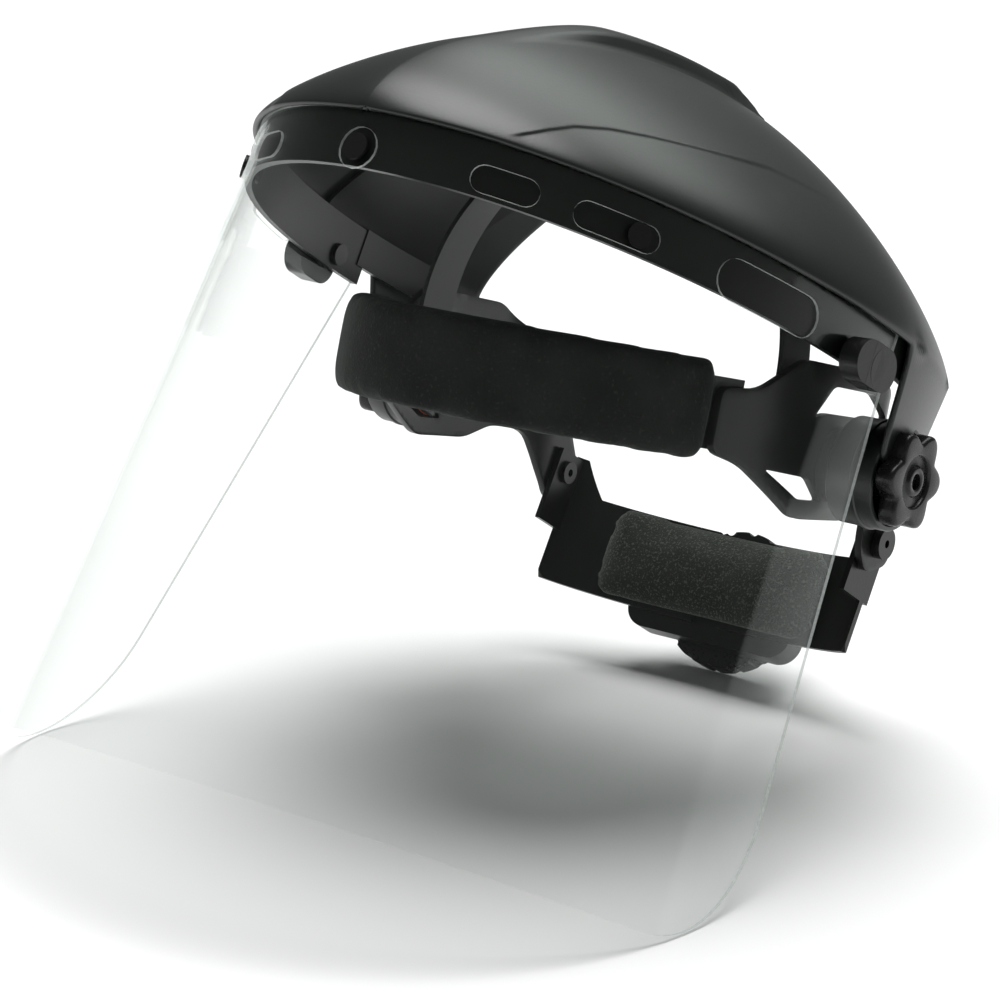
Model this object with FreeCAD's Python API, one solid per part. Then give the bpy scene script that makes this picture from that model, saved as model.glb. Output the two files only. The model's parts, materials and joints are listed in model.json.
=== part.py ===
import FreeCAD, Part
import math
import os

# Face shield: a moulded crown with a wrapped clear window, hinged on a ratchet headgear.
# Local frames: X to the wearer's left, V backwards, W upwards, origin on the temple pivots' axis.
# The row frame is the standing posture: +Z up from the floor, front towards -Y.

# ---- driving sizes, millimetres and degrees ----
HEAD_TILT = 14.0            # headband plane, front up, when the shield stands on the floor
CROWN_TILT = 27.7           # window rim plane, front up, in the same posture
NAPE_TILT = 16.0            # nape strap's extra lean against the headband plane

# crown, measured from the centre of the rim's half ellipse
PIVOT_BACK = 36.0           # temple pivot behind the rim's ends
PIVOT_DROP = 20.0           # temple pivot below the rim's lower edge
RIM_HALF_WIDTH = 105.6      # window carrier, outer face
RIM_DEPTH = 150.6
RIM_HEIGHT = 17.5
RIM_WALL = 2.4
END_BUTTON_INSET = 16.4     # end buttons ahead of the rim's ends, along the rim
FRONT_HOLE = 13.0
SLOT_WIDTH = 8.5
LARGE_SLOT_MARGIN = 21.4    # window left before and after the large slots
WINDOW_SHEET = 1.0
WINDOW_GAP = 0.15
WINDOW_HEIGHT = 203.0
WINDOW_FOOT_HALF_WIDTH = 131.0
WINDOW_FOOT_DEPTH = 124.0
WINDOW_FOOT_FORWARD = 30.0
WINDOW_CORNER = 46.0
LIP_GAP = 0.5
DOME_WALL = 2.2
DOME_HEIGHT = 75.5
DOME_CREST_BACK = 24.0      # where the dome is highest
DOME_CREST_FADE = 200.0
DOME_FRONT_POWER = 1.64
DOME_SIDE_POWER = 1.34
DOME_REAR_NARROW = 12.0     # half width lost at the rear edge
DOME_REAR_LOW = 59.0        # rear edge behind the rim's ends, at the lip
DOME_REAR_TOP = 47.0        # and at the crest
RIDGE_FRONT = -108.0
RIDGE_RISE = 5.0
RIDGE_HALF_WIDTH = 15.0
TEMPLE_LEAN = 0.12          # inward lean of the temple plates, per millimetre of drop
TEMPLE_STEP = 13.5          # temple plates' front corner below the lip
WING_FRONT = -30.0
WING_BACK = 38.0
WING_TOP = 48.0
WING_GAP = 0.6
WING_WALL = 1.8

# temple pivots, distances along X
PLATE_HALF_WIDTH = 78.6     # headgear side plate, outer face
PLATE_WALL = 2.6
HUB_LENGTH = 5.0
HUB_RADIUS = 12.5
WASHER_SHEET = 1.2
PIVOT_SEAT_GAP = 0.15       # between each piece of the pivot stack
BOSS_RADIUS = 17.5
BOSS_WALL = 2.0
BOSS_BASE = 2.8
BOSS_PROUD = 1.8            # boss outside the temple plate, at the pivot's height
BOLT_RADIUS = 2.5
BOLT_HEAD_RADIUS = 7.0
BOLT_HEAD = 2.2
RUNNING_GAP = 0.06
KNOB_FACE = 6.4             # star part of the tension knob, standing out of the boss
KNOB_CORE_RADIUS = 12.0
KNOB_LOBE_RADIUS = 4.6
KNOB_LOBES = 6
KNOB_LOBE_CIRCLE = 12.2
KNOB_NECK_RADIUS = 8.0
SPRING_WASHER = 1.0
INSERT_RADIUS = 4.0

# headgear, measured from the pivot
BAND_SET_IN = 0.6           # headband's gap inside the side plates at their widest
BAND_DEPTH = 131.0
BAND_WALL = 1.8
BAND_LOW = -1.0
BAND_HIGH = 22.0
PAD_LOW = -5.0
PAD_HIGH = 27.0
PAD_OUT = 4.0               # sweatband outside the headband
PAD_IN = 6.0                # and inside it
PAD_GAP = 0.3
PAD_END = -62.0             # where the sweatband stops, ahead of the pivot
BAND_END = -50.0
PLATE_STRAIGHT = 25.0
PLATE_CURVE_IN = 11.0
STRAP_TOP = 96.0
STRAP_WIDTH = 17.0
STRAP_WALL = 1.6
PIN_RADIUS = 2.0
STRAP_AHEAD = -27.0
STRAP_BASE = 24.0           # where the arch starts, above the pivot
STRAP_STAND_OFF = 3.0

# nape strap, measured from its buttons
BUTTON_BACK = 59.6
BUTTON_DROP = 25.1
NAPE_OVERREACH = 5.4        # nape curve's half width beyond the straps' tongues
NAPE_DEPTH = 23.0
NAPE_WALL = 2.0
NAPE_LOW = -38.3
NAPE_HIGH = -4.4
NAPE_PAD_HALF_WIDTH = 48.0
NAPE_PAD_THICK = 4.5
RATCHET_DROP = 25.0         # ratchet axis below the buttons
HOUSING_HALF_WIDTH = 34.0
HOUSING_HALF_HEIGHT = 19.0
HOUSING_DEPTH = 8.0
HOUSING_WALL = 1.6
RATCHET_KNOB_RADIUS = 25.5
RATCHET_KNOB_DEPTH = 9.0
RATCHET_GRIPS = 18
GEAR_MODULE = 1.0
GEAR_TEETH = 12
GEAR_ANGLE = 25.0
GEAR_BACKLASH = 0.35
GEAR_TIP = 0.8
RACK_ROOT = 1.1
CHANNEL_GAP = 1.9           # room beside the racks
RACK_LENGTH = 40.0
RACK_BACK = 2.5
RACK_THICK = 3.0
BUTTON_RADIUS = 3.0
BUTTON_HEAD_RADIUS = 5.5
TONGUE_GAP = 0.4

FAR = 400.0


def vec(x, v, w):
    """A point or direction in a local frame."""
    return FreeCAD.Vector(x, v, w)


def block(x0, x1, v0, v1, w0, w1):
    """Box between two corners."""
    return Part.makeBox(x1 - x0, v1 - v0, w1 - w0, vec(x0, v0, w0))


def rod(radius, x0, x1, v=0.0, w=0.0):
    """Cylinder along X."""
    return Part.makeCylinder(radius, x1 - x0, vec(x0, v, w), vec(1, 0, 0))


def side_prism(points, x0=-FAR, x1=FAR):
    """A side outline, (v, w) points, carried along X."""
    corners = [vec(x0, v, w) for v, w in points]
    wire = Part.makePolygon(corners + corners[:1])
    return Part.Face(wire).extrude(vec(x1 - x0, 0, 0))


def oval_face(end_a, end_b, centre):
    """Face of an ellipse from the ends of its two half axes."""
    ends = sorted([end_a, end_b], key=lambda end: -(end - centre).Length)
    return Part.Face(Part.Wire(Part.Ellipse(ends[0], ends[1], centre).toShape()))


def oval_prism(half_width, depth, low, high):
    """Upright elliptic prism centred on the W axis."""
    return oval_face(vec(half_width, 0, low), vec(0, depth, low), vec(0, 0, low)).extrude(vec(0, 0, high - low))


def front_band(half_width, depth, wall, low, high, end=0.0):
    """Wall of a half ellipse ahead of v = end; the sizes are its outer face's."""
    ring = oval_prism(half_width, depth, low, high)
    ring = ring.cut(oval_prism(half_width - wall, depth - wall, low - 1, high + 1))
    return ring.common(block(-FAR, FAR, -FAR, end, low - 2, high + 2))


def curve_wall(curve, start, stop, wall, low, high, count=24):
    """Upright wall whose outer face follows curve(t) = (x, v), with its thickness to the left of travel."""
    outer, inner = [], []
    step = (stop - start) / count
    for index in range(count + 1):
        t = start + step * index
        x, v = curve(t)
        x1, v1 = curve(t + 0.01 * step)
        along = math.hypot(x1 - x, v1 - v)
        outer.append(vec(x, v, low))
        inner.append(vec(x - wall * (v1 - v) / along, v + wall * (x1 - x) / along, low))
    outer_edge, inner_edge = Part.BSplineCurve(), Part.BSplineCurve()
    outer_edge.interpolate(outer)
    inner_edge.interpolate(inner)
    edges = [outer_edge.toShape(), Part.makeLine(outer[-1], inner[-1]),
             inner_edge.toShape(), Part.makeLine(inner[0], outer[0])]
    return Part.Face(Part.Wire(Part.__sortEdges__(edges))).extrude(vec(0, 0, high - low))


def mirrored(shape):
    """The wearer's right-hand copy of a left-hand piece."""
    return shape.mirror(vec(0, 0, 0), vec(1, 0, 0))


def fused(shapes):
    """One solid from touching shapes."""
    whole = shapes[0].fuse(list(shapes[1:])).removeSplitter()
    return whole


# ---- crown frame pieces ----
LIP_HEIGHT = RIM_HEIGHT     # the dome's lip is level with the rim's top
DOME_HALF_WIDTH = RIM_HALF_WIDTH + WINDOW_GAP + WINDOW_SHEET + LIP_GAP + DOME_WALL
DOME_DEPTH = RIM_DEPTH + WINDOW_GAP + WINDOW_SHEET + LIP_GAP + DOME_WALL


def dome_half_width(v, inset):
    """Half width of the dome at station v: a half ellipse that narrows behind the rim's ends."""
    if v < 0:
        depth = DOME_DEPTH - inset
        return (DOME_HALF_WIDTH - inset) * math.sqrt(max(0.0, 1 - (v / depth) ** 2))
    return DOME_HALF_WIDTH - inset - DOME_REAR_NARROW * (v / DOME_REAR_LOW) ** 2


def dome_crest(v, inset):
    """Height of the dome's centre line above its lip at station v."""
    reach = DOME_DEPTH - inset + DOME_CREST_BACK if v < DOME_CREST_BACK else DOME_CREST_FADE
    share = abs((v - DOME_CREST_BACK) / reach) ** DOME_FRONT_POWER
    return (DOME_HEIGHT - inset) * max(0.0, 1 - share) ** (1 / DOME_FRONT_POWER)


def dome_station(v, inset):
    """Closed cross-section of the dome at station v, a superelliptic arch on its chord."""
    half, crest = dome_half_width(v, inset), dome_crest(v, inset)
    count = 24
    points = []
    for index in range(count + 1):
        turn = math.pi * index / count
        across, rise = math.cos(turn), math.sin(turn)
        x = half * math.copysign(abs(across) ** (2 / DOME_SIDE_POWER), across)
        points.append(vec(x, v, LIP_HEIGHT + crest * max(0.0, rise) ** (2 / DOME_SIDE_POWER)))
    arch = Part.BSplineCurve()
    arch.interpolate(points)
    return Part.Wire([arch.toShape(), Part.makeLine(points[-1], points[0])])


def dome_block(inset):
    """The dome as a full block, its surface moved inwards by inset."""
    front = inset - DOME_DEPTH + 0.6
    back = DOME_REAR_LOW + 3.0
    count = 15
    stations = []
    for index in range(count + 1):
        share = 1 - math.cos(0.5 * math.pi * index / count)
        stations.append(dome_station(front + (back - front) * share, inset))
    return Part.makeLoft(stations, True, False)


def rear_cut():
    """Everything behind the dome's leaning rear edge."""
    lean = (DOME_REAR_TOP - DOME_REAR_LOW) / DOME_HEIGHT
    low_w, high_w = LIP_HEIGHT - 60.0, LIP_HEIGHT + DOME_HEIGHT + 60.0
    low_v = DOME_REAR_LOW + lean * (low_w - LIP_HEIGHT)
    high_v = DOME_REAR_LOW + lean * (high_w - LIP_HEIGHT)
    return side_prism([(low_v, low_w), (high_v, high_w), (FAR, high_w), (FAR, low_w)])


def crown_ridge():
    """Top ridge: a low arch that grows from the dome's front slope to the rear edge."""
    stations = []
    count = 8
    for index in range(count + 1):
        share = index / count
        v = RIDGE_FRONT + (DOME_REAR_TOP + 1.0 - RIDGE_FRONT) * share
        half = RIDGE_HALF_WIDTH * (0.35 + 0.65 * share)
        top = LIP_HEIGHT + dome_crest(v, 0.0) + RIDGE_RISE * min(1.0, 2.5 * share) - 1.5 * (1 - share)
        low = top - RIDGE_RISE - 4.0
        arch = Part.BSplineCurve()
        arch.interpolate([vec(-half, v, low + 1), vec(-0.8 * half, v, top - 1.2), vec(0, v, top),
                          vec(0.8 * half, v, top - 1.2), vec(half, v, low + 1)])
        stations.append(Part.Wire([arch.toShape(), Part.makeLine(vec(half, v, low + 1), vec(-half, v, low + 1))]))
    return Part.makeLoft(stations, True, False)


def boss_span():
    """The temple boss's inner and outer faces along X."""
    inner = PLATE_HALF_WIDTH + HUB_LENGTH + WASHER_SHEET + 3 * PIVOT_SEAT_GAP
    plate = dome_half_width(PIVOT_BACK, 0.0) - TEMPLE_LEAN * (LIP_HEIGHT + PIVOT_DROP)
    return inner, plate + BOSS_PROUD


def temple_plate():
    """Left temple plate with its pivot boss, below the dome's lip."""
    wall = curve_wall(lambda v: (dome_half_width(v, 0.0), v), 6.0, DOME_REAR_LOW + 2.0, DOME_WALL,
                      -3 * PIVOT_DROP, LIP_HEIGHT + 1.2)
    lean = FreeCAD.Matrix()
    lean.A13 = TEMPLE_LEAN
    lean.A14 = -TEMPLE_LEAN * LIP_HEIGHT
    wall = wall.transformGeometry(lean)
    high, low = LIP_HEIGHT - TEMPLE_STEP, BOSS_RADIUS - PIVOT_DROP
    outline = side_prism([(6, 30), (6, high), (PIVOT_BACK - 16, low - 8), (PIVOT_BACK - 12, low - 16),
                          (PIVOT_BACK + 12, low - 16), (PIVOT_BACK + 17, low - 6), (DOME_REAR_LOW + 3, high - 2),
                          (DOME_REAR_LOW + 3, 30)])
    inner, outer = boss_span()
    boss = rod(BOSS_RADIUS, inner, outer, PIVOT_BACK, -PIVOT_DROP)
    recess = rod(BOSS_RADIUS + 0.3, outer, FAR, PIVOT_BACK, -PIVOT_DROP)
    return wall.common(outline).cut(recess), boss


def crown_shell():
    """Dome, ridge and both temple plates: one moulding."""
    hollow = dome_block(DOME_WALL).cut(block(-FAR, FAR, -FAR, FAR, -FAR, LIP_HEIGHT - 50))
    solid = fused([dome_block(0.0), crown_ridge()])
    shell = solid.cut(hollow).cut(rear_cut())
    wall, boss = temple_plate()
    inner, outer = boss_span()
    cup = rod(BOSS_RADIUS - BOSS_WALL, inner + BOSS_BASE, outer + 1, PIVOT_BACK, -PIVOT_DROP)
    hole = rod(BOLT_RADIUS + RUNNING_GAP, inner - 1, outer + 1, PIVOT_BACK, -PIVOT_DROP)
    left = fused([wall.cut(rear_cut()), boss]).cut(cup).cut(hole)
    return fused([shell, left, mirrored(left)])


def rim_point(arc, offset=0.0):
    """Point and outward direction on the rim, arc millimetres from its front centre."""
    steps = 400
    walked, turn = 0.0, 0.0
    part = 0.5 * math.pi / steps
    while walked < abs(arc):
        across, along = RIM_HALF_WIDTH * math.cos(turn), RIM_DEPTH * math.sin(turn)
        walked += math.hypot(across, along) * part
        turn += part
    turn = math.copysign(turn, arc)
    normal = vec(math.sin(turn) / RIM_HALF_WIDTH, -math.cos(turn) / RIM_DEPTH, 0)
    normal.normalize()
    point = vec(RIM_HALF_WIDTH * math.sin(turn), -RIM_DEPTH * math.cos(turn), 0)
    return point + normal * offset, normal


def rim_rod(arc, height, radius, start, length):
    """Round piece standing on the rim along its outward direction."""
    point, normal = rim_point(arc, start)
    return Part.makeCylinder(radius, length, point + vec(0, 0, height), normal)


def rim_slot(arc, height, length, width, start, depth):
    """Long round-ended piece lying along the rim, for holes and blocks."""
    half = 0.5 * (length - width)
    if half <= 0:
        return rim_rod(arc, height, 0.5 * width, start, depth)
    ends = [rim_rod(arc - half, height, 0.5 * width, start, depth),
            rim_rod(arc + half, height, 0.5 * width, start, depth)]
    point, normal = rim_point(arc, start)
    bar = Part.makeBox(2 * half, depth, width, vec(-half, 0, -0.5 * width))
    angle = math.degrees(math.atan2(normal.y, normal.x)) - 90.0
    bar.rotate(vec(0, 0, 0), vec(0, 0, 1), angle)
    bar.translate(point + vec(0, 0, height))
    return ends[0].fuse([ends[1], bar])


def rim_arc():
    """Length of the rim's outer face from its front centre to one end."""
    steps = 400
    part = 0.5 * math.pi / steps
    return sum(math.hypot(RIM_HALF_WIDTH * math.cos(part * index), RIM_DEPTH * math.sin(part * index)) * part
               for index in range(steps))


HOLE_HEIGHT = 5.5
SIDE_STUD_ARC = 89.0
STUD_RADIUS = 2.4
END_BUTTON_ARC = rim_arc() - END_BUTTON_INSET


def window_holes():
    """Holes and slots of the window as (arc from the centre, length, width), on both sides."""
    front = [(0.0, FRONT_HOLE, FRONT_HOLE), (47.5, 21.0, SLOT_WIDTH), (82.5, 28.0, SLOT_WIDTH)]
    start = front[-1][0] + 0.5 * front[-1][1]
    stop = END_BUTTON_ARC - 0.5 * SLOT_WIDTH
    rear = [(0.5 * (start + stop), stop - start - 2 * LARGE_SLOT_MARGIN, FRONT_HOLE), (END_BUTTON_ARC, 8.0, 8.0)]
    return front + rear


def window_carrier():
    """Rim band that the window wraps, with a wing each side inside the dome."""
    band = front_band(RIM_HALF_WIDTH, RIM_DEPTH, RIM_WALL, 0.0, RIM_HEIGHT + 1.0)
    wing = dome_block(DOME_WALL + WING_GAP).cut(dome_block(DOME_WALL + WING_GAP + WING_WALL))
    wing = wing.common(block(-FAR, FAR, WING_FRONT, WING_BACK, LIP_HEIGHT, WING_TOP))
    tail = curve_wall(lambda v: (dome_half_width(v, DOME_WALL + WING_GAP + 1.5), v), -4.0, WING_BACK,
                      RIM_WALL, 6.0, LIP_HEIGHT + 1.5)
    shape = fused([band, wing, tail, mirrored(tail)])
    for side in (1, -1):
        shape = shape.cut(rim_rod(side * END_BUTTON_ARC, HOLE_HEIGHT, STUD_RADIUS + 0.1, -10, 20))
        shape = shape.cut(rim_rod(side * SIDE_STUD_ARC, HOLE_HEIGHT, STUD_RADIUS + 0.1, -10, 20))
    return shape.cut(rim_rod(0, HOLE_HEIGHT, STUD_RADIUS + 0.1, -10, 20))


def foot_wire(half_width, depth, shift, level, sheet):
    """Closed thin half ring: outer arc, end, inner arc, end."""
    edges = []
    ends = []
    for inset in (0.0, sheet):
        points = []
        for index in range(31):
            turn = math.pi * index / 30
            points.append(vec((half_width - inset) * math.cos(turn), shift - (depth - inset) * math.sin(turn), level))
        arc = Part.BSplineCurve()
        arc.interpolate(points)
        edges.append(arc.toShape())
        ends.append((points[0], points[-1]))
    return Part.Wire([edges[0], Part.makeLine(ends[0][1], ends[1][1]), edges[1], Part.makeLine(ends[1][0], ends[0][0])])


def face_window():
    """Clear sheet: it wraps the rim, then flares to its free lower edge."""
    half = RIM_HALF_WIDTH + WINDOW_GAP + WINDOW_SHEET
    depth = RIM_DEPTH + WINDOW_GAP + WINDOW_SHEET
    foot = RIM_HEIGHT - WINDOW_HEIGHT
    top = foot_wire(half, depth, 0.0, RIM_HEIGHT, WINDOW_SHEET)
    edge = foot_wire(half, depth, 0.0, 0.0, WINDOW_SHEET)
    low = foot_wire(WINDOW_FOOT_HALF_WIDTH, WINDOW_FOOT_DEPTH, -WINDOW_FOOT_FORWARD, foot, WINDOW_SHEET)
    sheet = Part.makeLoft([top, edge], True, True).fuse(Part.makeLoft([edge, low], True, True))
    slope = WINDOW_FOOT_FORWARD / -foot
    centre_w = foot + WINDOW_CORNER
    centre_v = slope * centre_w - WINDOW_CORNER * math.hypot(1, slope)
    waste = block(-FAR, FAR, centre_v, 30, foot - 5, centre_w)
    waste = waste.cut(Part.makeCylinder(WINDOW_CORNER, 2 * FAR, vec(-FAR, centre_v, centre_w), vec(1, 0, 0)))
    sheet = sheet.cut(waste)
    for arc, length, width in window_holes():
        for side in ((1, -1) if arc else (1,)):
            sheet = sheet.cut(rim_slot(side * arc, HOLE_HEIGHT, length, width, -3, 8))
    return sheet.removeSplitter()


def stud(arc, head_radius):
    """Press stud through the carrier and the window, with a head outside and a foot inside."""
    out = WINDOW_GAP + WINDOW_SHEET + 0.2
    neck = rim_rod(arc, HOLE_HEIGHT, STUD_RADIUS, -RIM_WALL - 0.4, RIM_WALL + 0.5 + out)
    head = rim_rod(arc, HOLE_HEIGHT, head_radius, out, 1.0 if head_radius < 6 else 4.0)
    foot = rim_rod(arc, HOLE_HEIGHT, STUD_RADIUS + 1.4, -RIM_WALL - 1.4, 1.2)
    return fused([neck, head, foot])


def end_button(side):
    """Thick end button that holds the window's rear end to the rim."""
    out = WINDOW_GAP + WINDOW_SHEET + 1.4
    arc = side * END_BUTTON_ARC
    neck = rim_rod(arc, HOLE_HEIGHT, STUD_RADIUS, -RIM_WALL - 0.4, RIM_WALL + 0.6 + out)
    head = rim_slot(arc - side * 3.0, 1.5, 22.0, 14.0, out, 7.0)
    foot = rim_rod(arc, HOLE_HEIGHT, STUD_RADIUS + 1.4, -RIM_WALL - 1.4, 1.2)
    return fused([neck, head, foot])


# ---- pivot stack, left side, axis through the origin ----
def pivot_faces():
    """X of the faces along the pivot, from the plate outwards."""
    hub = PLATE_HALF_WIDTH + PIVOT_SEAT_GAP
    washer = hub + HUB_LENGTH + PIVOT_SEAT_GAP
    boss, mouth = boss_span()
    return hub, washer, boss, mouth


def pivot_hub():
    """Round spacer between the side plate and the crown."""
    hub, washer, boss, mouth = pivot_faces()
    return rod(HUB_RADIUS, hub, hub + HUB_LENGTH).cut(rod(BOLT_RADIUS + RUNNING_GAP, hub - 1, washer + 1))


def friction_washer():
    """Fibre washer between the spacer and the crown's boss."""
    hub, washer, boss, mouth = pivot_faces()
    return rod(HUB_RADIUS, washer, washer + WASHER_SHEET).cut(rod(BOLT_RADIUS + 0.3, washer - 1, boss + 1))


def spring_washer():
    """Dished spring washer under the knob's neck."""
    hub, washer, boss, mouth = pivot_faces()
    seat = boss + BOSS_BASE + PIVOT_SEAT_GAP
    return rod(KNOB_NECK_RADIUS, seat, seat + SPRING_WASHER).cut(rod(BOLT_RADIUS + 0.4, seat - 1, seat + 3))


def pivot_bolt():
    """Flat-headed bolt from inside the side plate out to the knob."""
    hub, washer, boss, mouth = pivot_faces()
    inside = PLATE_HALF_WIDTH - PLATE_WALL - PIVOT_SEAT_GAP
    head = rod(BOLT_HEAD_RADIUS, inside - BOLT_HEAD, inside)
    return fused([head, rod(BOLT_RADIUS, inside, mouth + 2.0)])


def knob_neck_start():
    """X where the knob's neck meets its spring washer."""
    hub, washer, boss, mouth = pivot_faces()
    return boss + BOSS_BASE + SPRING_WASHER + 2 * PIVOT_SEAT_GAP


def tension_knob():
    """Six-lobed knob with a neck inside the boss."""
    hub, washer, boss, mouth = pivot_faces()
    face = mouth + 0.4
    shapes = [rod(KNOB_CORE_RADIUS, face, face + KNOB_FACE)]
    for index in range(KNOB_LOBES):
        turn = 2 * math.pi * index / KNOB_LOBES
        shapes.append(rod(KNOB_LOBE_RADIUS, face, face + KNOB_FACE,
                          KNOB_LOBE_CIRCLE * math.cos(turn), KNOB_LOBE_CIRCLE * math.sin(turn)))
    shapes.append(rod(KNOB_NECK_RADIUS, knob_neck_start(), face))
    knob = fused(shapes)
    knob = knob.cut(rod(INSERT_RADIUS, knob_neck_start() - 1, mouth + 2.2))
    return knob.cut(rod(8.5, face + KNOB_FACE - 1.2, face + KNOB_FACE + 1).cut(rod(5.0, 0, FAR)))


def knob_insert():
    """Threaded brass insert in the knob's neck."""
    hub, washer, boss, mouth = pivot_faces()
    start = knob_neck_start() + 0.3
    sleeve = rod(INSERT_RADIUS - 0.02, start, mouth + 2.1)
    return sleeve.cut(rod(BOLT_RADIUS + RUNNING_GAP, start - 1, mouth + 3))


# ---- headgear pieces ----
def plate_line(v):
    """Plan line of the side plates' outer face: the band's ellipse, a straight, then a curve inwards."""
    if v < 0:
        return PLATE_HALF_WIDTH * math.sqrt(1 - (v / BAND_DEPTH) ** 2)
    if v < PLATE_STRAIGHT:
        return PLATE_HALF_WIDTH
    share = min(1.0, (v - PLATE_STRAIGHT) / (BUTTON_BACK - 9.0 - PLATE_STRAIGHT))
    return PLATE_HALF_WIDTH - PLATE_CURVE_IN * share * share * (3 - 2 * share)


def side_plate():
    """Left side plate: arm to the headband, open six-sided loop round the pivot, arm to the nape."""
    front = PAD_END + PAD_GAP
    sheet = curve_wall(lambda v: (plate_line(v), v), front, BUTTON_BACK + 12, PLATE_WALL, -45, 45, 40)
    loop = side_prism([(-50, -5), (-19, -19), (11, -18), (49, 4), (38, 22), (20, 31), (-27, 32), (-52, 18)])
    arm = side_prism([(front - 1, BAND_LOW - 1), (front - 1, BAND_HIGH - 3), (-45, 19), (-45, -5)])
    nape = side_prism([(26, -13), (45, 10), (54, 0), (70, -24), (68, -33), (54, -36), (48, -28), (40, -13)])
    upper_gap = side_prism([(-18, 14), (-9, 25), (17, 24.5), (34, 14), (22, 13), (13, 16), (-10, 16)])
    lower_gap = side_prism([(-38, -4.5), (-18.5, -12.7), (-5, -12.5), (-14, -5.5)])
    rear_gap = side_prism([(15, -9.5), (27, -2), (34, 4), (24, 5), (18, -1)])
    shape = sheet.common(fused([loop, arm, nape])).cut(upper_gap).cut(lower_gap).cut(rear_gap)
    shape = shape.cut(rod(BOLT_RADIUS + RUNNING_GAP, 50, 100))
    return shape.cut(rod(BUTTON_RADIUS + RUNNING_GAP, 40, 100, BUTTON_BACK, -BUTTON_DROP))


def band_half_width():
    """Half width of the headband's outer face, just inside the side plates."""
    return PLATE_HALF_WIDTH - PLATE_WALL - BAND_SET_IN


def headband():
    """Front strip of the headgear, inside the sweatband and against the side plates' arms."""
    return front_band(band_half_width(), BAND_DEPTH - PLATE_WALL, BAND_WALL, BAND_LOW, BAND_HIGH, BAND_END)


def brow_pad():
    """Sweatband sleeve that wraps the headband's front."""
    half, depth = band_half_width(), BAND_DEPTH - PLATE_WALL
    sleeve = front_band(half + PAD_OUT, depth + PAD_OUT, PAD_OUT + BAND_WALL + PAD_IN, PAD_LOW, PAD_HIGH, PAD_END)
    slot = front_band(half + PAD_GAP, depth + PAD_GAP, BAND_WALL + 2 * PAD_GAP, BAND_LOW - PAD_GAP,
                      BAND_HIGH + PAD_GAP, PAD_END + 5)
    return sleeve.cut(slot)


def strap_arch(inset):
    """Upright arch of the overhead strap as a full block."""
    base = STRAP_BASE
    half = PLATE_HALF_WIDTH - PLATE_WALL - STRAP_STAND_OFF - inset
    oval = oval_face(vec(half, 0, base), vec(0, 0, STRAP_TOP - inset), vec(0, 0, base))
    shape = oval.extrude(vec(0, STRAP_WIDTH, 0))
    shape.translate(vec(0, STRAP_AHEAD - 0.5 * STRAP_WIDTH, 0))
    return shape.common(block(-FAR, FAR, -FAR, FAR, base, FAR))


def overhead_strap(left):
    """One half of the strap over the head; the right half lies under the left one at the top."""
    drop = 0.0 if left else STRAP_WALL + 0.2
    arch = strap_arch(drop).cut(strap_arch(drop + STRAP_WALL))
    arch = arch.common(block(-20.0, FAR, -FAR, FAR, 0, FAR))
    outer = PLATE_HALF_WIDTH - PLATE_WALL - STRAP_STAND_OFF - drop
    low, edge = STRAP_BASE - 5.0, 0.5 * STRAP_WIDTH
    tab = block(outer - STRAP_WALL, outer, STRAP_AHEAD - edge, STRAP_AHEAD + edge, low, STRAP_BASE + 0.5)
    reach = plate_line(STRAP_AHEAD - 4.0) - PLATE_WALL - 0.1
    foot = block(outer - STRAP_WALL, reach, STRAP_AHEAD - 4.0, STRAP_AHEAD + 4.0, low + 1.0, low + 4.0)
    half = fused([arch, tab, foot])
    half = half.cut(Part.makeCylinder(PIN_RADIUS + 0.1, 30, vec(0, STRAP_AHEAD, STRAP_TOP - 20)))
    return half if left else mirrored(half)


def strap_pin():
    """Snap pin that holds the two strap halves together at the top."""
    under = STRAP_TOP - 2 * STRAP_WALL - 1.6
    neck = Part.makeCylinder(PIN_RADIUS, STRAP_TOP + 1.0 - under, vec(0, STRAP_AHEAD, under))
    head = Part.makeCylinder(2.2 * PIN_RADIUS, 1.4, vec(0, STRAP_AHEAD, STRAP_TOP + 0.3))
    foot = Part.makeCylinder(1.5 * PIN_RADIUS, 1.0, vec(0, STRAP_AHEAD, under))
    return fused([neck, head, foot])


# ---- nape pieces, origin on the buttons' axis ----
def tongue_face():
    """X of the strap tongue's outer face, just inside the side plate."""
    return PLATE_HALF_WIDTH - PLATE_CURVE_IN - PLATE_WALL - TONGUE_GAP


def nape_half_width():
    """Half width of the nape straps' elliptic line."""
    return tongue_face() + NAPE_OVERREACH


def nape_wall(offset, wall, start, stop, low, high):
    """Wall along the nape line, its outer face moved outwards by offset."""
    def line(turn):
        return (nape_half_width() + offset) * math.cos(turn), (NAPE_DEPTH + offset) * math.sin(turn)
    return curve_wall(line, start, stop, wall, low, high, 30)


def nape_strap():
    """Left nape strap: a curved band with a flat tongue up to its button."""
    band = nape_wall(0.0, NAPE_WALL, 0.06, 0.5 * math.pi - 0.08, NAPE_LOW, 12.0)
    outline = side_prism([(-5, -8), (1, 8), (9, 8), (13, NAPE_HIGH), (40, NAPE_HIGH), (40, NAPE_LOW), (8, NAPE_LOW),
                          (1, -28)])
    inner = tongue_face()
    tongue = block(inner - NAPE_WALL, inner, -7, 12, -20, 7)
    keep = block(0, inner, -FAR, FAR, -FAR, FAR)
    whole = fused([band.common(outline).common(keep), tongue])
    return whole.cut(rod(BUTTON_RADIUS + RUNNING_GAP, 0, 100))


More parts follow.
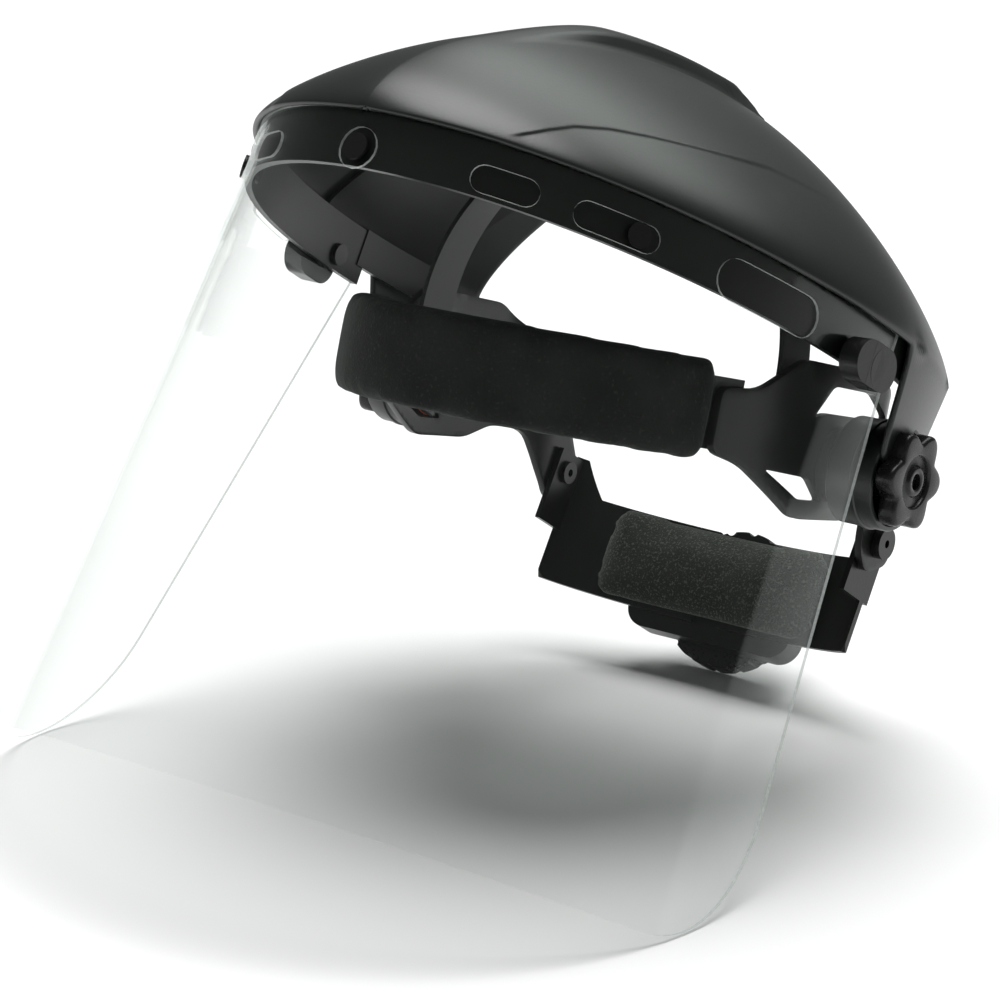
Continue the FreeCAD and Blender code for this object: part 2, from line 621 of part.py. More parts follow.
def nape_button():
    """Snap button through the side plate and the strap's tab."""
    inner = tongue_face() - NAPE_WALL
    outer = PLATE_HALF_WIDTH - PLATE_CURVE_IN + TONGUE_GAP
    shapes = [rod(BUTTON_RADIUS, inner - 0.6, outer), rod(BUTTON_HEAD_RADIUS, outer, outer + 3.0),
              rod(BUTTON_RADIUS + 1.0, inner - 1.6, inner - 0.4)]
    return fused(shapes).cut(rod(1.4, inner - 5, outer + 10))


def nape_pad():
    """Nape cushion inside the strap."""
    half_turn = math.asin(NAPE_PAD_HALF_WIDTH / nape_half_width())
    return nape_wall(-NAPE_WALL - PAD_GAP, NAPE_PAD_THICK, 0.5 * math.pi - half_turn, 0.5 * math.pi + half_turn,
                     NAPE_LOW + 0.5, NAPE_HIGH - 0.5)


def rear_face():
    """V of the nape strap's outer face at the centre."""
    return NAPE_DEPTH + 0.2


def ratchet_box(x_half, w_half, start, stop):
    """Round-cornered block behind the nape strap, centred on the ratchet's axis."""
    shape = block(-x_half, x_half, start, stop, -RATCHET_DROP - w_half, -RATCHET_DROP + w_half)
    upright = [edge for edge in shape.Edges if abs(edge.tangentAt(edge.FirstParameter).y) > 0.99]
    return shape.makeFillet(min(8.0, 0.9 * w_half), upright)


def channel_half_height():
    """Half height of the rack channel: the racks' backs and their clearance."""
    return (0.5 * GEAR_TEETH + RACK_ROOT) * GEAR_MODULE + RACK_BACK + CHANNEL_GAP


def ratchet_housing():
    """Rear housing with the rack channel, open towards its cover."""
    start = rear_face()
    stop = start + HOUSING_DEPTH
    shape = ratchet_box(HOUSING_HALF_WIDTH, HOUSING_HALF_HEIGHT, start, stop)
    half = channel_half_height()
    channel = block(-HOUSING_HALF_WIDTH + HOUSING_WALL, HOUSING_HALF_WIDTH - HOUSING_WALL, start + HOUSING_WALL,
                    stop + 1, -RATCHET_DROP - half, -RATCHET_DROP + half)
    return shape.cut(channel).cut(rod_v(2.06, start - 1, stop))


def rod_v(radius, v0, v1, x=0.0, w=-RATCHET_DROP):
    """Cylinder along V on the ratchet's axis."""
    return Part.makeCylinder(radius, v1 - v0, vec(x, v0, w), vec(0, 1, 0))


def ratchet_cover():
    """Flat cover over the racks."""
    start = rear_face() + HOUSING_DEPTH + 0.1
    plate = ratchet_box(HOUSING_HALF_WIDTH, HOUSING_HALF_HEIGHT, start, start + HOUSING_WALL)
    return plate.cut(rod_v(4.06, start - 1, start + 5))


def ratchet_knob():
    """Round knob with finger grips on its rim."""
    start = rear_face() + HOUSING_DEPTH + HOUSING_WALL + 0.5
    disc = rod_v(RATCHET_KNOB_RADIUS, start, start + RATCHET_KNOB_DEPTH)
    rim = [edge for edge in disc.Edges if abs(edge.BoundBox.YMin - start - RATCHET_KNOB_DEPTH) < 0.01 and
           edge.Length > 100]
    disc = disc.makeFillet(2.0, rim)
    for index in range(RATCHET_GRIPS):
        turn = 2 * math.pi * (index + 0.5) / RATCHET_GRIPS
        x = (RATCHET_KNOB_RADIUS + 0.9) * math.cos(turn)
        w = -RATCHET_DROP + (RATCHET_KNOB_RADIUS + 0.9) * math.sin(turn)
        disc = disc.cut(rod_v(2.0, start - 1, start + RATCHET_KNOB_DEPTH + 1, x, w))
    return disc.cut(rod_v(2.02, start - 1, start + 4.0))


def ratchet_pinion():
    """Toothed pinion between the racks, with its shaft."""
    start = rear_face() + HOUSING_WALL + 0.3
    length = HOUSING_DEPTH - HOUSING_WALL - 0.6
    pitch = 0.5 * GEAR_MODULE * GEAR_TEETH
    base = pitch * math.cos(math.radians(GEAR_ANGLE))
    tip = pitch + GEAR_TIP * GEAR_MODULE
    root = pitch - 1.2 * GEAR_MODULE
    half_tooth = (0.25 * math.pi * GEAR_MODULE - 0.25 * GEAR_BACKLASH) / pitch
    flat = math.tan(math.radians(GEAR_ANGLE)) - math.radians(GEAR_ANGLE)
    flank = []
    for index in range(5):
        radius = base + (tip - base) * index / 4
        roll = math.acos(min(1.0, base / radius))
        flank.append((radius, half_tooth + flat - (math.tan(roll) - roll)))
    points = []
    for tooth in range(GEAR_TEETH):
        centre = 2 * math.pi * tooth / GEAR_TEETH + 0.5 * math.pi
        rising = [(root, -flank[0][1])] + [(radius, -turn) for radius, turn in flank]
        falling = [(radius, turn) for radius, turn in reversed(flank)] + [(root, flank[0][1])]
        for radius, turn in rising + falling:
            angle = centre + turn
            points.append(vec(radius * math.cos(angle), start, -RATCHET_DROP + radius * math.sin(angle)))
    gear = Part.Face(Part.makePolygon(points + points[:1])).extrude(vec(0, length, 0))
    knob = rear_face() + HOUSING_DEPTH + HOUSING_WALL + 0.5
    shaft = rod_v(2.0, rear_face() + 0.2, knob + 3.8)
    collar = rod_v(4.0, start + length - 0.01, knob - 0.1)
    return fused([gear, shaft, collar])


def ratchet_rack(upper):
    """Rack at the end of one nape strap, in mesh above or below the pinion."""
    start = rear_face() + HOUSING_WALL + 0.6
    pitch = 0.5 * GEAR_MODULE * GEAR_TEETH
    step = math.pi * GEAR_MODULE
    slope = math.tan(math.radians(GEAR_ANGLE))
    tip, root = GEAR_TIP * GEAR_MODULE, RACK_ROOT * GEAR_MODULE
    half = 0.25 * step - 0.25 * GEAR_BACKLASH
    count = int(RACK_LENGTH / step)
    first = -0.5 * count * step
    points = [vec(first - 1.0, start, pitch + root)]
    for tooth in range(count):
        centre = first + (tooth + 0.5) * step
        points += [vec(centre - half - slope * root, start, pitch + root),
                   vec(centre - half + slope * tip, start, pitch - tip),
                   vec(centre + half - slope * tip, start, pitch - tip),
                   vec(centre + half + slope * root, start, pitch + root)]
    points += [vec(-first + 1.0, start, pitch + root), vec(-first + 1.0, start, pitch + root + RACK_BACK),
               vec(first - 1.0, start, pitch + root + RACK_BACK)]
    rack = Part.Face(Part.makePolygon(points + points[:1])).extrude(vec(0, RACK_THICK, 0))
    if not upper:
        rack = rack.mirror(vec(0, 0, 0), vec(0, 0, 1))
    rack.translate(vec(0, 0, -RATCHET_DROP))
    return rack


def detent_spring():
    """Bent leaf that clicks against the pinion's collar; it sits beside the upper rack."""
    start = rear_face() + HOUSING_WALL + 0.3
    low = 0.7 - channel_half_height() - RATCHET_DROP
    leaf = block(-9.0, 9.0, start + 4.0, start + 4.5, low, low + 2.2)
    finger = block(-9.0, -8.0, start + 0.5, start + 4.2, low, low + 0.7)
    return fused([leaf, finger])


# ---- placing and writing ----
def place(shape, tilt, back=0.0, rise=0.0):
    """Turn a local piece about X so that its front comes up, then move it."""
    placed = shape.copy()
    placed.rotate(vec(0, 0, 0), vec(1, 0, 0), -tilt)
    placed.translate(vec(0, back, rise))
    return placed


def in_crown(shape):
    """Move a crown piece so that the pivot is its origin, then tilt it."""
    moved = shape.copy()
    moved.translate(vec(0, -PIVOT_BACK, PIVOT_DROP))
    return place(moved, CROWN_TILT)


def in_head(shape):
    """Tilt a headgear piece."""
    return place(shape, HEAD_TILT)


def in_nape(shape):
    """Lean a nape piece, carry it to the buttons, then tilt it with the headgear."""
    return place(place(shape, NAPE_TILT, BUTTON_BACK, -BUTTON_DROP), HEAD_TILT)


def both(name, shape, carry):
    """A left piece and its mirror image, as two named pieces."""
    return {name + "_left": carry(shape), name + "_right": carry(mirrored(shape))}


def build():
    """Every piece by node name, about the pivot axis."""
    pieces = {"crown_shell": in_crown(crown_shell()),
              "window_carrier": in_crown(window_carrier()),
              "face_window": in_crown(face_window()),
              "front_stud": in_crown(stud(0.0, 4.2)),
              "side_stud_left": in_crown(stud(SIDE_STUD_ARC, 3.8)),
              "side_stud_right": in_crown(stud(-SIDE_STUD_ARC, 3.8)),
              "end_button_left": in_crown(end_button(1)),
              "end_button_right": in_crown(end_button(-1))}
    pieces.update(both("pivot_hub", pivot_hub(), in_head))
    pieces.update(both("friction_washer", friction_washer(), in_head))
    pieces.update(both("spring_washer", spring_washer(), in_head))
    pieces.update(both("pivot_bolt", pivot_bolt(), in_head))
    pieces.update(both("tension_knob", tension_knob(), in_head))
    pieces.update(both("knob_insert", knob_insert(), in_head))
    pieces.update(both("side_plate", side_plate(), in_head))
    pieces["headband"] = in_head(headband())
    pieces["brow_pad"] = in_head(brow_pad())
    pieces["overhead_strap_left"] = in_head(overhead_strap(True))
    pieces["overhead_strap_right"] = in_head(overhead_strap(False))
    pieces["strap_pin"] = in_head(strap_pin())
    pieces.update(both("nape_strap", nape_strap(), in_nape))
    pieces.update(both("nape_button", nape_button(), in_nape))
    pieces["nape_pad"] = in_nape(nape_pad())
    pieces["ratchet_housing"] = in_nape(ratchet_housing())
    pieces["ratchet_cover"] = in_nape(ratchet_cover())
    pieces["ratchet_knob"] = in_nape(ratchet_knob())
    pieces["ratchet_pinion"] = in_nape(ratchet_pinion())
    pieces["ratchet_rack_left"] = in_nape(ratchet_rack(True))
    pieces["ratchet_rack_right"] = in_nape(ratchet_rack(False))
    pieces["detent_spring"] = in_nape(detent_spring())
    return pieces


def main():
    """Stand the shield on the floor, centre it, and write one file per piece."""
    pieces = build()
    whole = FreeCAD.BoundBox()
    for shape in pieces.values():
        for point in shape.tessellate(0.1)[0]:
            whole.add(point)
    shift = vec(-0.5 * (whole.XMin + whole.XMax), -0.5 * (whole.YMin + whole.YMax), -whole.ZMin)
    os.makedirs("parts", exist_ok=True)
    for name, shape in pieces.items():
        shape.translate(shift)
        shape.exportStep("parts/" + name + ".step")
    for name in ("face_window", "ratchet_knob"):
        print(name, "lowest %.2f" % min(point.z for point in pieces[name].tessellate(0.1)[0]))
    print("pivot axis at y %.3f z %.3f" % (shift.y, shift.z))
    button = FreeCAD.Rotation(vec(1, 0, 0), -HEAD_TILT).multVec(vec(0, BUTTON_BACK, -BUTTON_DROP)) + shift
    print("button axis at y %.3f z %.3f" % (button.y, button.z))
    print("whole size %.1f %.1f %.1f" % (whole.XLength, whole.YLength, whole.ZLength))


main()
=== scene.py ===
# Looks of a face shield: smooth crown, clear window, padded headgear and ratchet nape strap,
# round the CAD frame.
# Sizes are millimetres in three leaning local frames (x to the wearer's left, v backwards, w upwards);
# LeaningFrame.row() turns them into metres in the row frame.
import json
import logging
import math
from dataclasses import dataclass, field
from enum import Enum
from typing import Callable, Dict, List, Optional, Sequence, Tuple, Union

import bmesh
import bpy
import numpy as np
from mathutils import Matrix, Vector, geometry

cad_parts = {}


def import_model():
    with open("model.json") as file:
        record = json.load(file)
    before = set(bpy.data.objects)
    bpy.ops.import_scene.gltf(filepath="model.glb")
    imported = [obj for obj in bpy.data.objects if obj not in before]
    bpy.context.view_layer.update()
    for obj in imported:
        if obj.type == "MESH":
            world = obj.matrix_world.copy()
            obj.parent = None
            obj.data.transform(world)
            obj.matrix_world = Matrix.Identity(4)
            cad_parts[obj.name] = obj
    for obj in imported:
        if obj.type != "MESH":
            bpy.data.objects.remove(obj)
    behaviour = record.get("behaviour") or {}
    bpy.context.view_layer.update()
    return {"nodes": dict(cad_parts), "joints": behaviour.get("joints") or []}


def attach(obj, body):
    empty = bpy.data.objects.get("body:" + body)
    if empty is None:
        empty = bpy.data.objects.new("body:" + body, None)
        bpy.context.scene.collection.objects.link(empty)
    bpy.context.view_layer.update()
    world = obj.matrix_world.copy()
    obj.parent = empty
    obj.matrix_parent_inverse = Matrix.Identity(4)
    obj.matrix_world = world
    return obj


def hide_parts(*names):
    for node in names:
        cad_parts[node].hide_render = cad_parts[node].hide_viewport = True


Array = np.ndarray
Value = Union[float, "Shade"]
LOG = logging.getLogger("face_shield")
MM = 0.001
SIDES = (("left", 1.0), ("right", -1.0))

# leaning angles of the standing pose, in degrees, and the temple pivot's place in the crown's frame
CROWN_TILT = 27.7
HEAD_TILT = 14.0
NAPE_TILT = 30.0
PIVOT_BACK = 36.0
PIVOT_UP = -20.0


# ---------------------------------------------------------------- frames

@dataclass(frozen=True)
class LeaningFrame:
    """A local frame turned about X, front up, with a known point of it on a known point of the row frame.

    Formula: y = y0 + (v - v0) cos a + (w - w0) sin a and z = z0 - (v - v0) sin a + (w - w0) cos a.
    """

    pivot: Tuple[float, float]
    degrees: float
    v0: float = 0.0
    w0: float = 0.0

    def row(self, local: Array) -> Array:
        """Points (x, v, w) in millimetres as row-frame metres, for an array of any shape ending in 3."""
        turn = math.radians(self.degrees)
        x, v, w = local[..., 0], local[..., 1] - self.v0, local[..., 2] - self.w0
        y = self.pivot[0] + MM * (v * math.cos(turn) + w * math.sin(turn))
        z = self.pivot[1] + MM * (w * math.cos(turn) - v * math.sin(turn))
        return np.stack([MM * x, y, z], axis=-1)


@dataclass(frozen=True)
class Frames:
    """The three local frames of the shield."""

    crown: LeaningFrame
    head: LeaningFrame
    nape: LeaningFrame

    @classmethod
    def from_joints(cls, joints: Sequence[dict]) -> "Frames":
        """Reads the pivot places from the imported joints.

        Args:
            joints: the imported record's joints.

        Returns:
            The frames at rest.
        """
        places = {joint["name"]: joint.get("pos_m") for joint in joints}
        pivot = (places["crown_lift"][1], places["crown_lift"][2])
        button = (places["nape_tilt"][1], places["nape_tilt"][2])
        return cls(LeaningFrame(pivot, CROWN_TILT, PIVOT_BACK, PIVOT_UP), LeaningFrame(pivot, HEAD_TILT),
                   LeaningFrame(button, NAPE_TILT))


# ---------------------------------------------------------------- surfaces

def smooth_step(value: Array) -> Array:
    """Cubic ease from 0 to 1 over the unit interval: t t (3 - 2 t)."""
    share = np.clip(value, 0.0, 1.0)
    return share * share * (3.0 - 2.0 * share)


def grid_faces(rows: int, columns: int, wrap_rows: bool = False, wrap_columns: bool = False) -> Array:
    """Quads of a rows by columns grid, numbered row by row.

    Args:
        rows: number of rows.
        columns: number of columns.
        wrap_rows: the last row joins the first.
        wrap_columns: the last column joins the first.

    Returns:
        An (n, 4) array of vertex numbers.
    """
    r = np.arange(rows if wrap_rows else rows - 1)
    c = np.arange(columns if wrap_columns else columns - 1)
    r, c = np.meshgrid(r, c, indexing="ij")
    r1, c1 = (r + 1) % rows, (c + 1) % columns
    quads = np.stack([r * columns + c, r * columns + c1, r1 * columns + c1, r1 * columns + c], axis=-1)
    return quads.reshape(-1, 4)


def make_piece(name: str, points: Array, faces: Array, outward: bool = True,
               finish_slots: Optional[Array] = None) -> bpy.types.Object:
    """A closed, smooth mesh object from points and equal-sided faces.

    Args:
        name: the piece's name.
        points: (n, 3) row-frame metres.
        faces: (m, 3) or (m, 4) vertex numbers.
        outward: work out the normals again, for grids that may run either way.
        finish_slots: number of each face's finish, where the piece wears more than one.

    Returns:
        The new object, linked to the scene.
    """
    mesh = bpy.data.meshes.new(name)
    mesh.from_pydata(points.reshape(-1, 3).tolist(), [], faces.tolist())
    piece = bpy.data.objects.new(name, mesh)
    bpy.context.scene.collection.objects.link(piece)
    if finish_slots is not None:
        mesh.polygons.foreach_set("material_index", finish_slots.astype(np.int32))
    clean_mesh(mesh, outward)
    mesh.polygons.foreach_set("use_smooth", np.ones(len(mesh.polygons), dtype=bool))
    return piece


def clean_mesh(mesh: bpy.types.Mesh, outward: bool) -> None:
    """Merges doubled points, drops empty faces and turns the faces outwards."""
    work = bmesh.new()
    work.from_mesh(mesh)
    bmesh.ops.remove_doubles(work, verts=work.verts, dist=2e-6)
    bmesh.ops.dissolve_degenerate(work, edges=work.edges, dist=1e-7)
    if outward:
        bmesh.ops.recalc_face_normals(work, faces=work.faces)
    work.to_mesh(mesh)
    work.free()


def closed_shell(outer: Array, inner: Array, rounds: int = 4) -> Tuple[Array, Array]:
    """Two grids of one topology joined round their border by a half-round edge.

    Formula: between border points o and i the edge runs m + (o - i) cos(t) / 2 + d r sin(t), where m is their
    middle, r half their distance and d the direction in which the outer grid leaves its border.

    Args:
        outer: (rows, columns, 3) points of the outer face.
        inner: the same for the inner face.
        rounds: rows of points in the half-round edge.

    Returns:
        Points and quads.
    """
    rows, columns = outer.shape[:2]
    numbers = np.arange(rows * columns).reshape(rows, columns)
    border = np.concatenate([numbers[0, :], numbers[1:, -1], numbers[-1, -2::-1], numbers[-2:0:-1, 0]])
    leave = np.zeros_like(outer)
    leave[0] += outer[0] - outer[1]
    leave[-1] += outer[-1] - outer[-2]
    leave[:, 0] += outer[:, 0] - outer[:, 1]
    leave[:, -1] += outer[:, -1] - outer[:, -2]
    leave = leave.reshape(-1, 3)[border]
    leave /= np.maximum(np.linalg.norm(leave, axis=1, keepdims=True), 1e-12)
    o, i = outer.reshape(-1, 3)[border], inner.reshape(-1, 3)[border]
    turn = np.linspace(0.0, math.pi, rounds + 2)[1:-1, None, None]
    radius = 0.5 * np.linalg.norm(o - i, axis=1, keepdims=True)
    edge = 0.5 * (o + i) + 0.5 * (o - i) * np.cos(turn) + leave * radius * np.sin(turn)
    points = np.concatenate([outer.reshape(-1, 3), inner.reshape(-1, 3), edge.reshape(-1, 3)])
    base, count = 2 * rows * columns, len(border)
    between = [base + k * count + np.arange(count) for k in range(rounds)]
    bands = [border] + between + [border + rows * columns]
    faces = [grid_faces(rows, columns), grid_faces(rows, columns)[:, ::-1] + rows * columns]
    for near, far in zip(bands[:-1], bands[1:]):
        faces.append(np.stack([near, far, np.roll(far, -1), np.roll(near, -1)], axis=-1))
    return points, np.concatenate(faces)


def turned_grid(along: Array, radius: Array, angles: Array) -> Array:
    """Points (x, v, w) of a surface about the X axis: v = r cos t and w = r sin t.

    Args:
        along: (rows,) or (rows, columns) places along X.
        radius: (rows, columns) or (rows, 1) radii.
        angles: (columns,) angles.

    Returns:
        (rows, columns, 3) points.
    """
    along = along.reshape(len(along), -1)
    x, r, t = np.broadcast_arrays(along, radius, angles[None, :])
    return np.stack([x, r * np.cos(t), r * np.sin(t)], axis=-1)


def capped(grid: Array) -> Array:
    """A tube's grid of sections with a row at each end drawn together in the end section's middle."""
    middles = grid[[0, -1]].mean(axis=1, keepdims=True)
    first, last = (np.broadcast_to(middle, (1, *grid.shape[1:])) for middle in middles)
    return np.concatenate([first, grid, last])


def rounded_outline(corners: Sequence[Tuple[float, float]], radius: float, steps: int = 5) -> Array:
    """Closed outline through rounded corners.

    Formula: each corner c between its neighbours is replaced by the quadratic curve
    (1 - t)^2 a + 2 t (1 - t) c + t^2 b, where a and b lie on the two sides at most radius from c.

    Args:
        corners: (v, w) corner points.
        radius: how far from each corner the rounding starts.
        steps: points for each corner.

    Returns:
        (n, 2) points.
    """
    here = np.array(corners, float)
    before, after = np.roll(here, 1, axis=0) - here, np.roll(here, -1, axis=0) - here
    long_a, long_b = (np.linalg.norm(d, axis=1, keepdims=True) for d in (before, after))
    a = here + before / long_a * np.minimum(radius, 0.45 * long_a)
    b = here + after / long_b * np.minimum(radius, 0.45 * long_b)
    t = np.linspace(0.0, 1.0, steps)[None, :, None]
    curve = (1 - t) ** 2 * a[:, None] + 2 * t * (1 - t) * here[:, None] + t ** 2 * b[:, None]
    return curve.reshape(-1, 2)


def round_hole(centre: Tuple[float, float], radius: float, count: int = 20) -> Array:
    """Circle of points in the plane."""
    turn = np.arange(count) * 2 * math.pi / count
    return np.stack([centre[0] + radius * np.cos(turn), centre[1] + radius * np.sin(turn)], axis=-1)


def long_hole(centre: float, height: float, length: float, width: float, count: int = 10) -> Array:
    """Round-ended slot in the plane: two half circles joined by straight sides."""
    half, radius = 0.5 * (length - width), 0.5 * width
    turn = np.linspace(-0.5 * math.pi, 0.5 * math.pi, count)
    right = np.stack([centre + half + radius * np.cos(turn), height + radius * np.sin(turn)], axis=-1)
    left = np.stack([centre - half - radius * np.cos(turn), height - radius * np.sin(turn)], axis=-1)
    return np.concatenate([right, left])


def divided(loop: Array, spacing: float) -> Array:
    """The closed loop with points no further apart than spacing."""
    closed = np.concatenate([loop, loop[:1]])
    reach = np.concatenate([[0.0], np.cumsum(np.linalg.norm(np.diff(closed, axis=0), axis=1))])
    counts = np.maximum(1, np.ceil(np.diff(reach) / spacing)).astype(int)
    steps = np.repeat(np.diff(reach) / counts, counts)
    places = np.concatenate([[0.0], np.cumsum(steps)])[:-1]
    return np.stack([np.interp(places, reach, closed[:, k]) for k in (0, 1)], axis=-1)


def inside_loops(points: Array, loops: Sequence[Array]) -> Array:
    """Even-odd test of (n, 2) points against closed loops."""
    inside = np.zeros(len(points), dtype=bool)
    for loop in loops:
        a, b = loop, np.roll(loop, -1, axis=0)
        x, y = points[:, :1], points[:, 1:]
        crosses = (a[None, :, 1] > y) != (b[None, :, 1] > y)
        rise = np.where(np.abs(b[:, 1] - a[:, 1]) < 1e-12, 1e-12, b[:, 1] - a[:, 1])
        at = a[None, :, 0] + (y - a[None, :, 1]) * ((b[:, 0] - a[:, 0]) / rise)[None, :]
        inside ^= (np.sum(crosses & (x < at), axis=1) % 2).astype(bool)
    return inside


def cut_sheet(loops: Sequence[Array], place: Callable[[Array, float], Array], wall: float,
              spacing: float) -> Tuple[Array, Array, int]:
    """A bent sheet of even thickness with holes, from its flat cutting pattern.

    The pattern is filled with a square net of points and triangulated; place() bends each side of it, and
    straight walls join the two sides along every loop.

    Args:
        loops: the outline first, then the holes, as (n, 2) points.
        place: gives (n, 3) row-frame points for (n, 2) pattern points at a depth below the outer face.
        wall: the sheet's thickness.
        spacing: distance between points in the pattern.

    Returns:
        Points, triangles, and how many of the triangles are faces rather than walls.
    """
    loops = [divided(loop, spacing) for loop in loops]
    low, high = loops[0].min(axis=0), loops[0].max(axis=0)
    across, up = np.meshgrid(np.arange(low[0], high[0], spacing), np.arange(low[1], high[1], spacing))
    net = np.stack([across.ravel(), up.ravel()], axis=-1)
    net = net[inside_loops(net, loops)]
    rim = np.concatenate(loops)
    gap = np.full(len(net), np.inf)
    for part in np.array_split(rim, max(1, len(rim) // 200)):
        gap = np.minimum(gap, np.linalg.norm(net[:, None] - part[None], axis=2).min(axis=1))
    pattern = np.concatenate([rim, net[gap > 0.55 * spacing]])
    starts = np.cumsum([0] + [len(loop) for loop in loops])
    edges = np.concatenate([np.stack([s + np.arange(n), s + (np.arange(n) + 1) % n], axis=-1)
                            for s, n in zip(starts, map(len, loops))])
    found = geometry.delaunay_2d_cdt([Vector(p) for p in pattern.tolist()], edges.tolist(), [], 0, 1e-6)
    flat = np.array([tuple(p) for p in found[0]])
    triangles = np.array([t for t in found[2] if len(t) == 3])
    triangles = triangles[inside_loops(flat[triangles].mean(axis=1), loops)]
    count = len(flat)
    sides = np.concatenate([triangles[:, pair] for pair in ([0, 1], [1, 2], [2, 0])])
    sides = np.sort(sides, axis=1)
    unique, uses = np.unique(sides, axis=0, return_counts=True)
    border = unique[uses == 1]
    walls = np.concatenate([np.stack([border[:, 0], border[:, 1], border[:, 1] + count], axis=-1),
                            np.stack([border[:, 0], border[:, 1] + count, border[:, 0] + count], axis=-1)])
    points = np.concatenate([place(flat, 0.0), place(flat, wall)])
    faces = np.concatenate([triangles, triangles[:, ::-1] + count, walls])
    return points, faces, 2 * len(triangles)


def bevel(piece: bpy.types.Object, width: float, segments: int = 2, angle: float = 40.0) -> bpy.types.Object:
    """Rounds a piece's sharp edges by a Bevel modifier and keeps them smooth."""
    rounding = piece.modifiers.new("rounded_edges", "BEVEL")
    rounding.width = width * MM
    rounding.segments = segments
    rounding.limit_method = "ANGLE"
    rounding.angle_limit = math.radians(angle)
    rounding.harden_normals = False
    return piece


def smooth_by_angle(piece: bpy.types.Object, degrees: float) -> None:
    """Marks the edges sharper than an angle as sharp, so the rest is shaded smooth."""
    mesh = piece.data
    mesh.polygons.foreach_set("use_smooth", np.ones(len(mesh.polygons), dtype=bool))
    mesh.set_sharp_from_angle(angle=math.radians(degrees))


# ---------------------------------------------------------------- shader expressions

class Shade:
    """A socket's value in a material, so that shader maths reads as Python."""

    def __init__(self, graph: "Graph", socket: bpy.types.NodeSocket) -> None:
        """Keeps the graph and the output socket."""
        self.graph = graph
        self.socket = socket

    def _math(self, operation: str, first: Value, second: Value) -> "Shade":
        """Adds one Math node."""
        return self.graph.node("ShaderNodeMath", {"operation": operation}, {0: first, 1: second})

    def __add__(self, other: Value) -> "Shade":
        """self + other."""
        return self._math("ADD", self, other)

    __radd__ = __add__

    def __sub__(self, other: Value) -> "Shade":
        """self - other."""
        return self._math("SUBTRACT", self, other)

    def __rsub__(self, other: Value) -> "Shade":
        """other - self."""
        return self._math("SUBTRACT", other, self)

    def __mul__(self, other: Value) -> "Shade":
        """self * other."""
        return self._math("MULTIPLY", self, other)

    __rmul__ = __mul__

    def __truediv__(self, other: Value) -> "Shade":
        """self / other."""
        return self._math("DIVIDE", self, other)

    def __pow__(self, other: Value) -> "Shade":
        """self to the power other."""
        return self._math("POWER", self, other)

    def band(self, low: float, high: float) -> "Shade":
        """Smooth step from 0 at low to 1 at high."""
        return self.graph.node("ShaderNodeMapRange", {"interpolation_type": "SMOOTHSTEP"},
                               {"Value": self, "From Min": low, "From Max": high, "To Min": 0.0,
                                "To Max": 1.0})


class Graph:
    """A material's node tree."""

    def __init__(self, name: str) -> None:
        """Starts an empty material."""
        self.material = bpy.data.materials.new(name)
        self.material.use_nodes = True
        self.tree = self.material.node_tree
        self.tree.nodes.clear()
        self.output = self.tree.nodes.new("ShaderNodeOutputMaterial")

    def node(self, kind: str, settings: Dict[str, object], inputs: Dict[Union[int, str], object],
             output: Union[int, str] = 0) -> Shade:
        """Adds a node.

        Args:
            kind: the node's type.
            settings: its own options, set first.
            inputs: sockets by name or number, as values or as Shades to link.
            output: the output to hand back.

        Returns:
            The chosen output.
        """
        made = self.tree.nodes.new(kind)
        for key, value in settings.items():
            setattr(made, key, value)
        for key, value in inputs.items():
            if isinstance(value, Shade):
                self.tree.links.new(value.socket, made.inputs[key])
            else:
                made.inputs[key].default_value = value
        return Shade(self, made.outputs[output])

    def place(self) -> Shade:
        """Object coordinates, which are row-frame metres."""
        return self.node("ShaderNodeTexCoord", {}, {}, "Object")

    def noise(self, scale: float, detail: float = 2.0, vector: Optional[Shade] = None) -> Shade:
        """Fractal noise, 0 to 1, with features of about 1 / scale metres."""
        return self.node("ShaderNodeTexNoise", {}, {"Vector": vector or self.place(), "Scale": scale,
                                                    "Detail": detail}, 0)

    def cells(self, scale: float, feature: str = "F1", vector: Optional[Shade] = None) -> Shade:
        """Distance in a Voronoi pattern with cells of about 1 / scale metres."""
        return self.node("ShaderNodeTexVoronoi", {"feature": feature}, {"Vector": vector or self.place(),
                                                                        "Scale": scale}, "Distance")

    def stretched(self, scale: Tuple[float, float, float]) -> Shade:
        """Object coordinates stretched along the axes."""
        return self.node("ShaderNodeMapping", {}, {"Vector": self.place(), "Scale": scale})

    def colours(self, share: Value, first: Sequence[float], second: Sequence[float]) -> Shade:
        """Colour between two by a share."""
        return self.node("ShaderNodeMix", {"data_type": "RGBA"},
                         {0: share, 6: (*first, 1.0), 7: (*second, 1.0)}, 2)

    def bump(self, height: Shade, depth: float, strength: float = 1.0) -> Shade:
        """Normal of a height map with a depth in metres."""
        return self.node("ShaderNodeBump", {}, {"Height": height, "Distance": depth, "Strength": strength})

    def principled(self, inputs: Dict[str, object]) -> Shade:
        """The main shader."""
        return self.node("ShaderNodeBsdfPrincipled", {}, inputs)

    def finish(self, surface: Shade) -> bpy.types.Material:
        """Joins the surface to the output and hands back the material."""
        self.tree.links.new(surface.socket, self.output.inputs["Surface"])
        return self.material


# ---------------------------------------------------------------- finishes

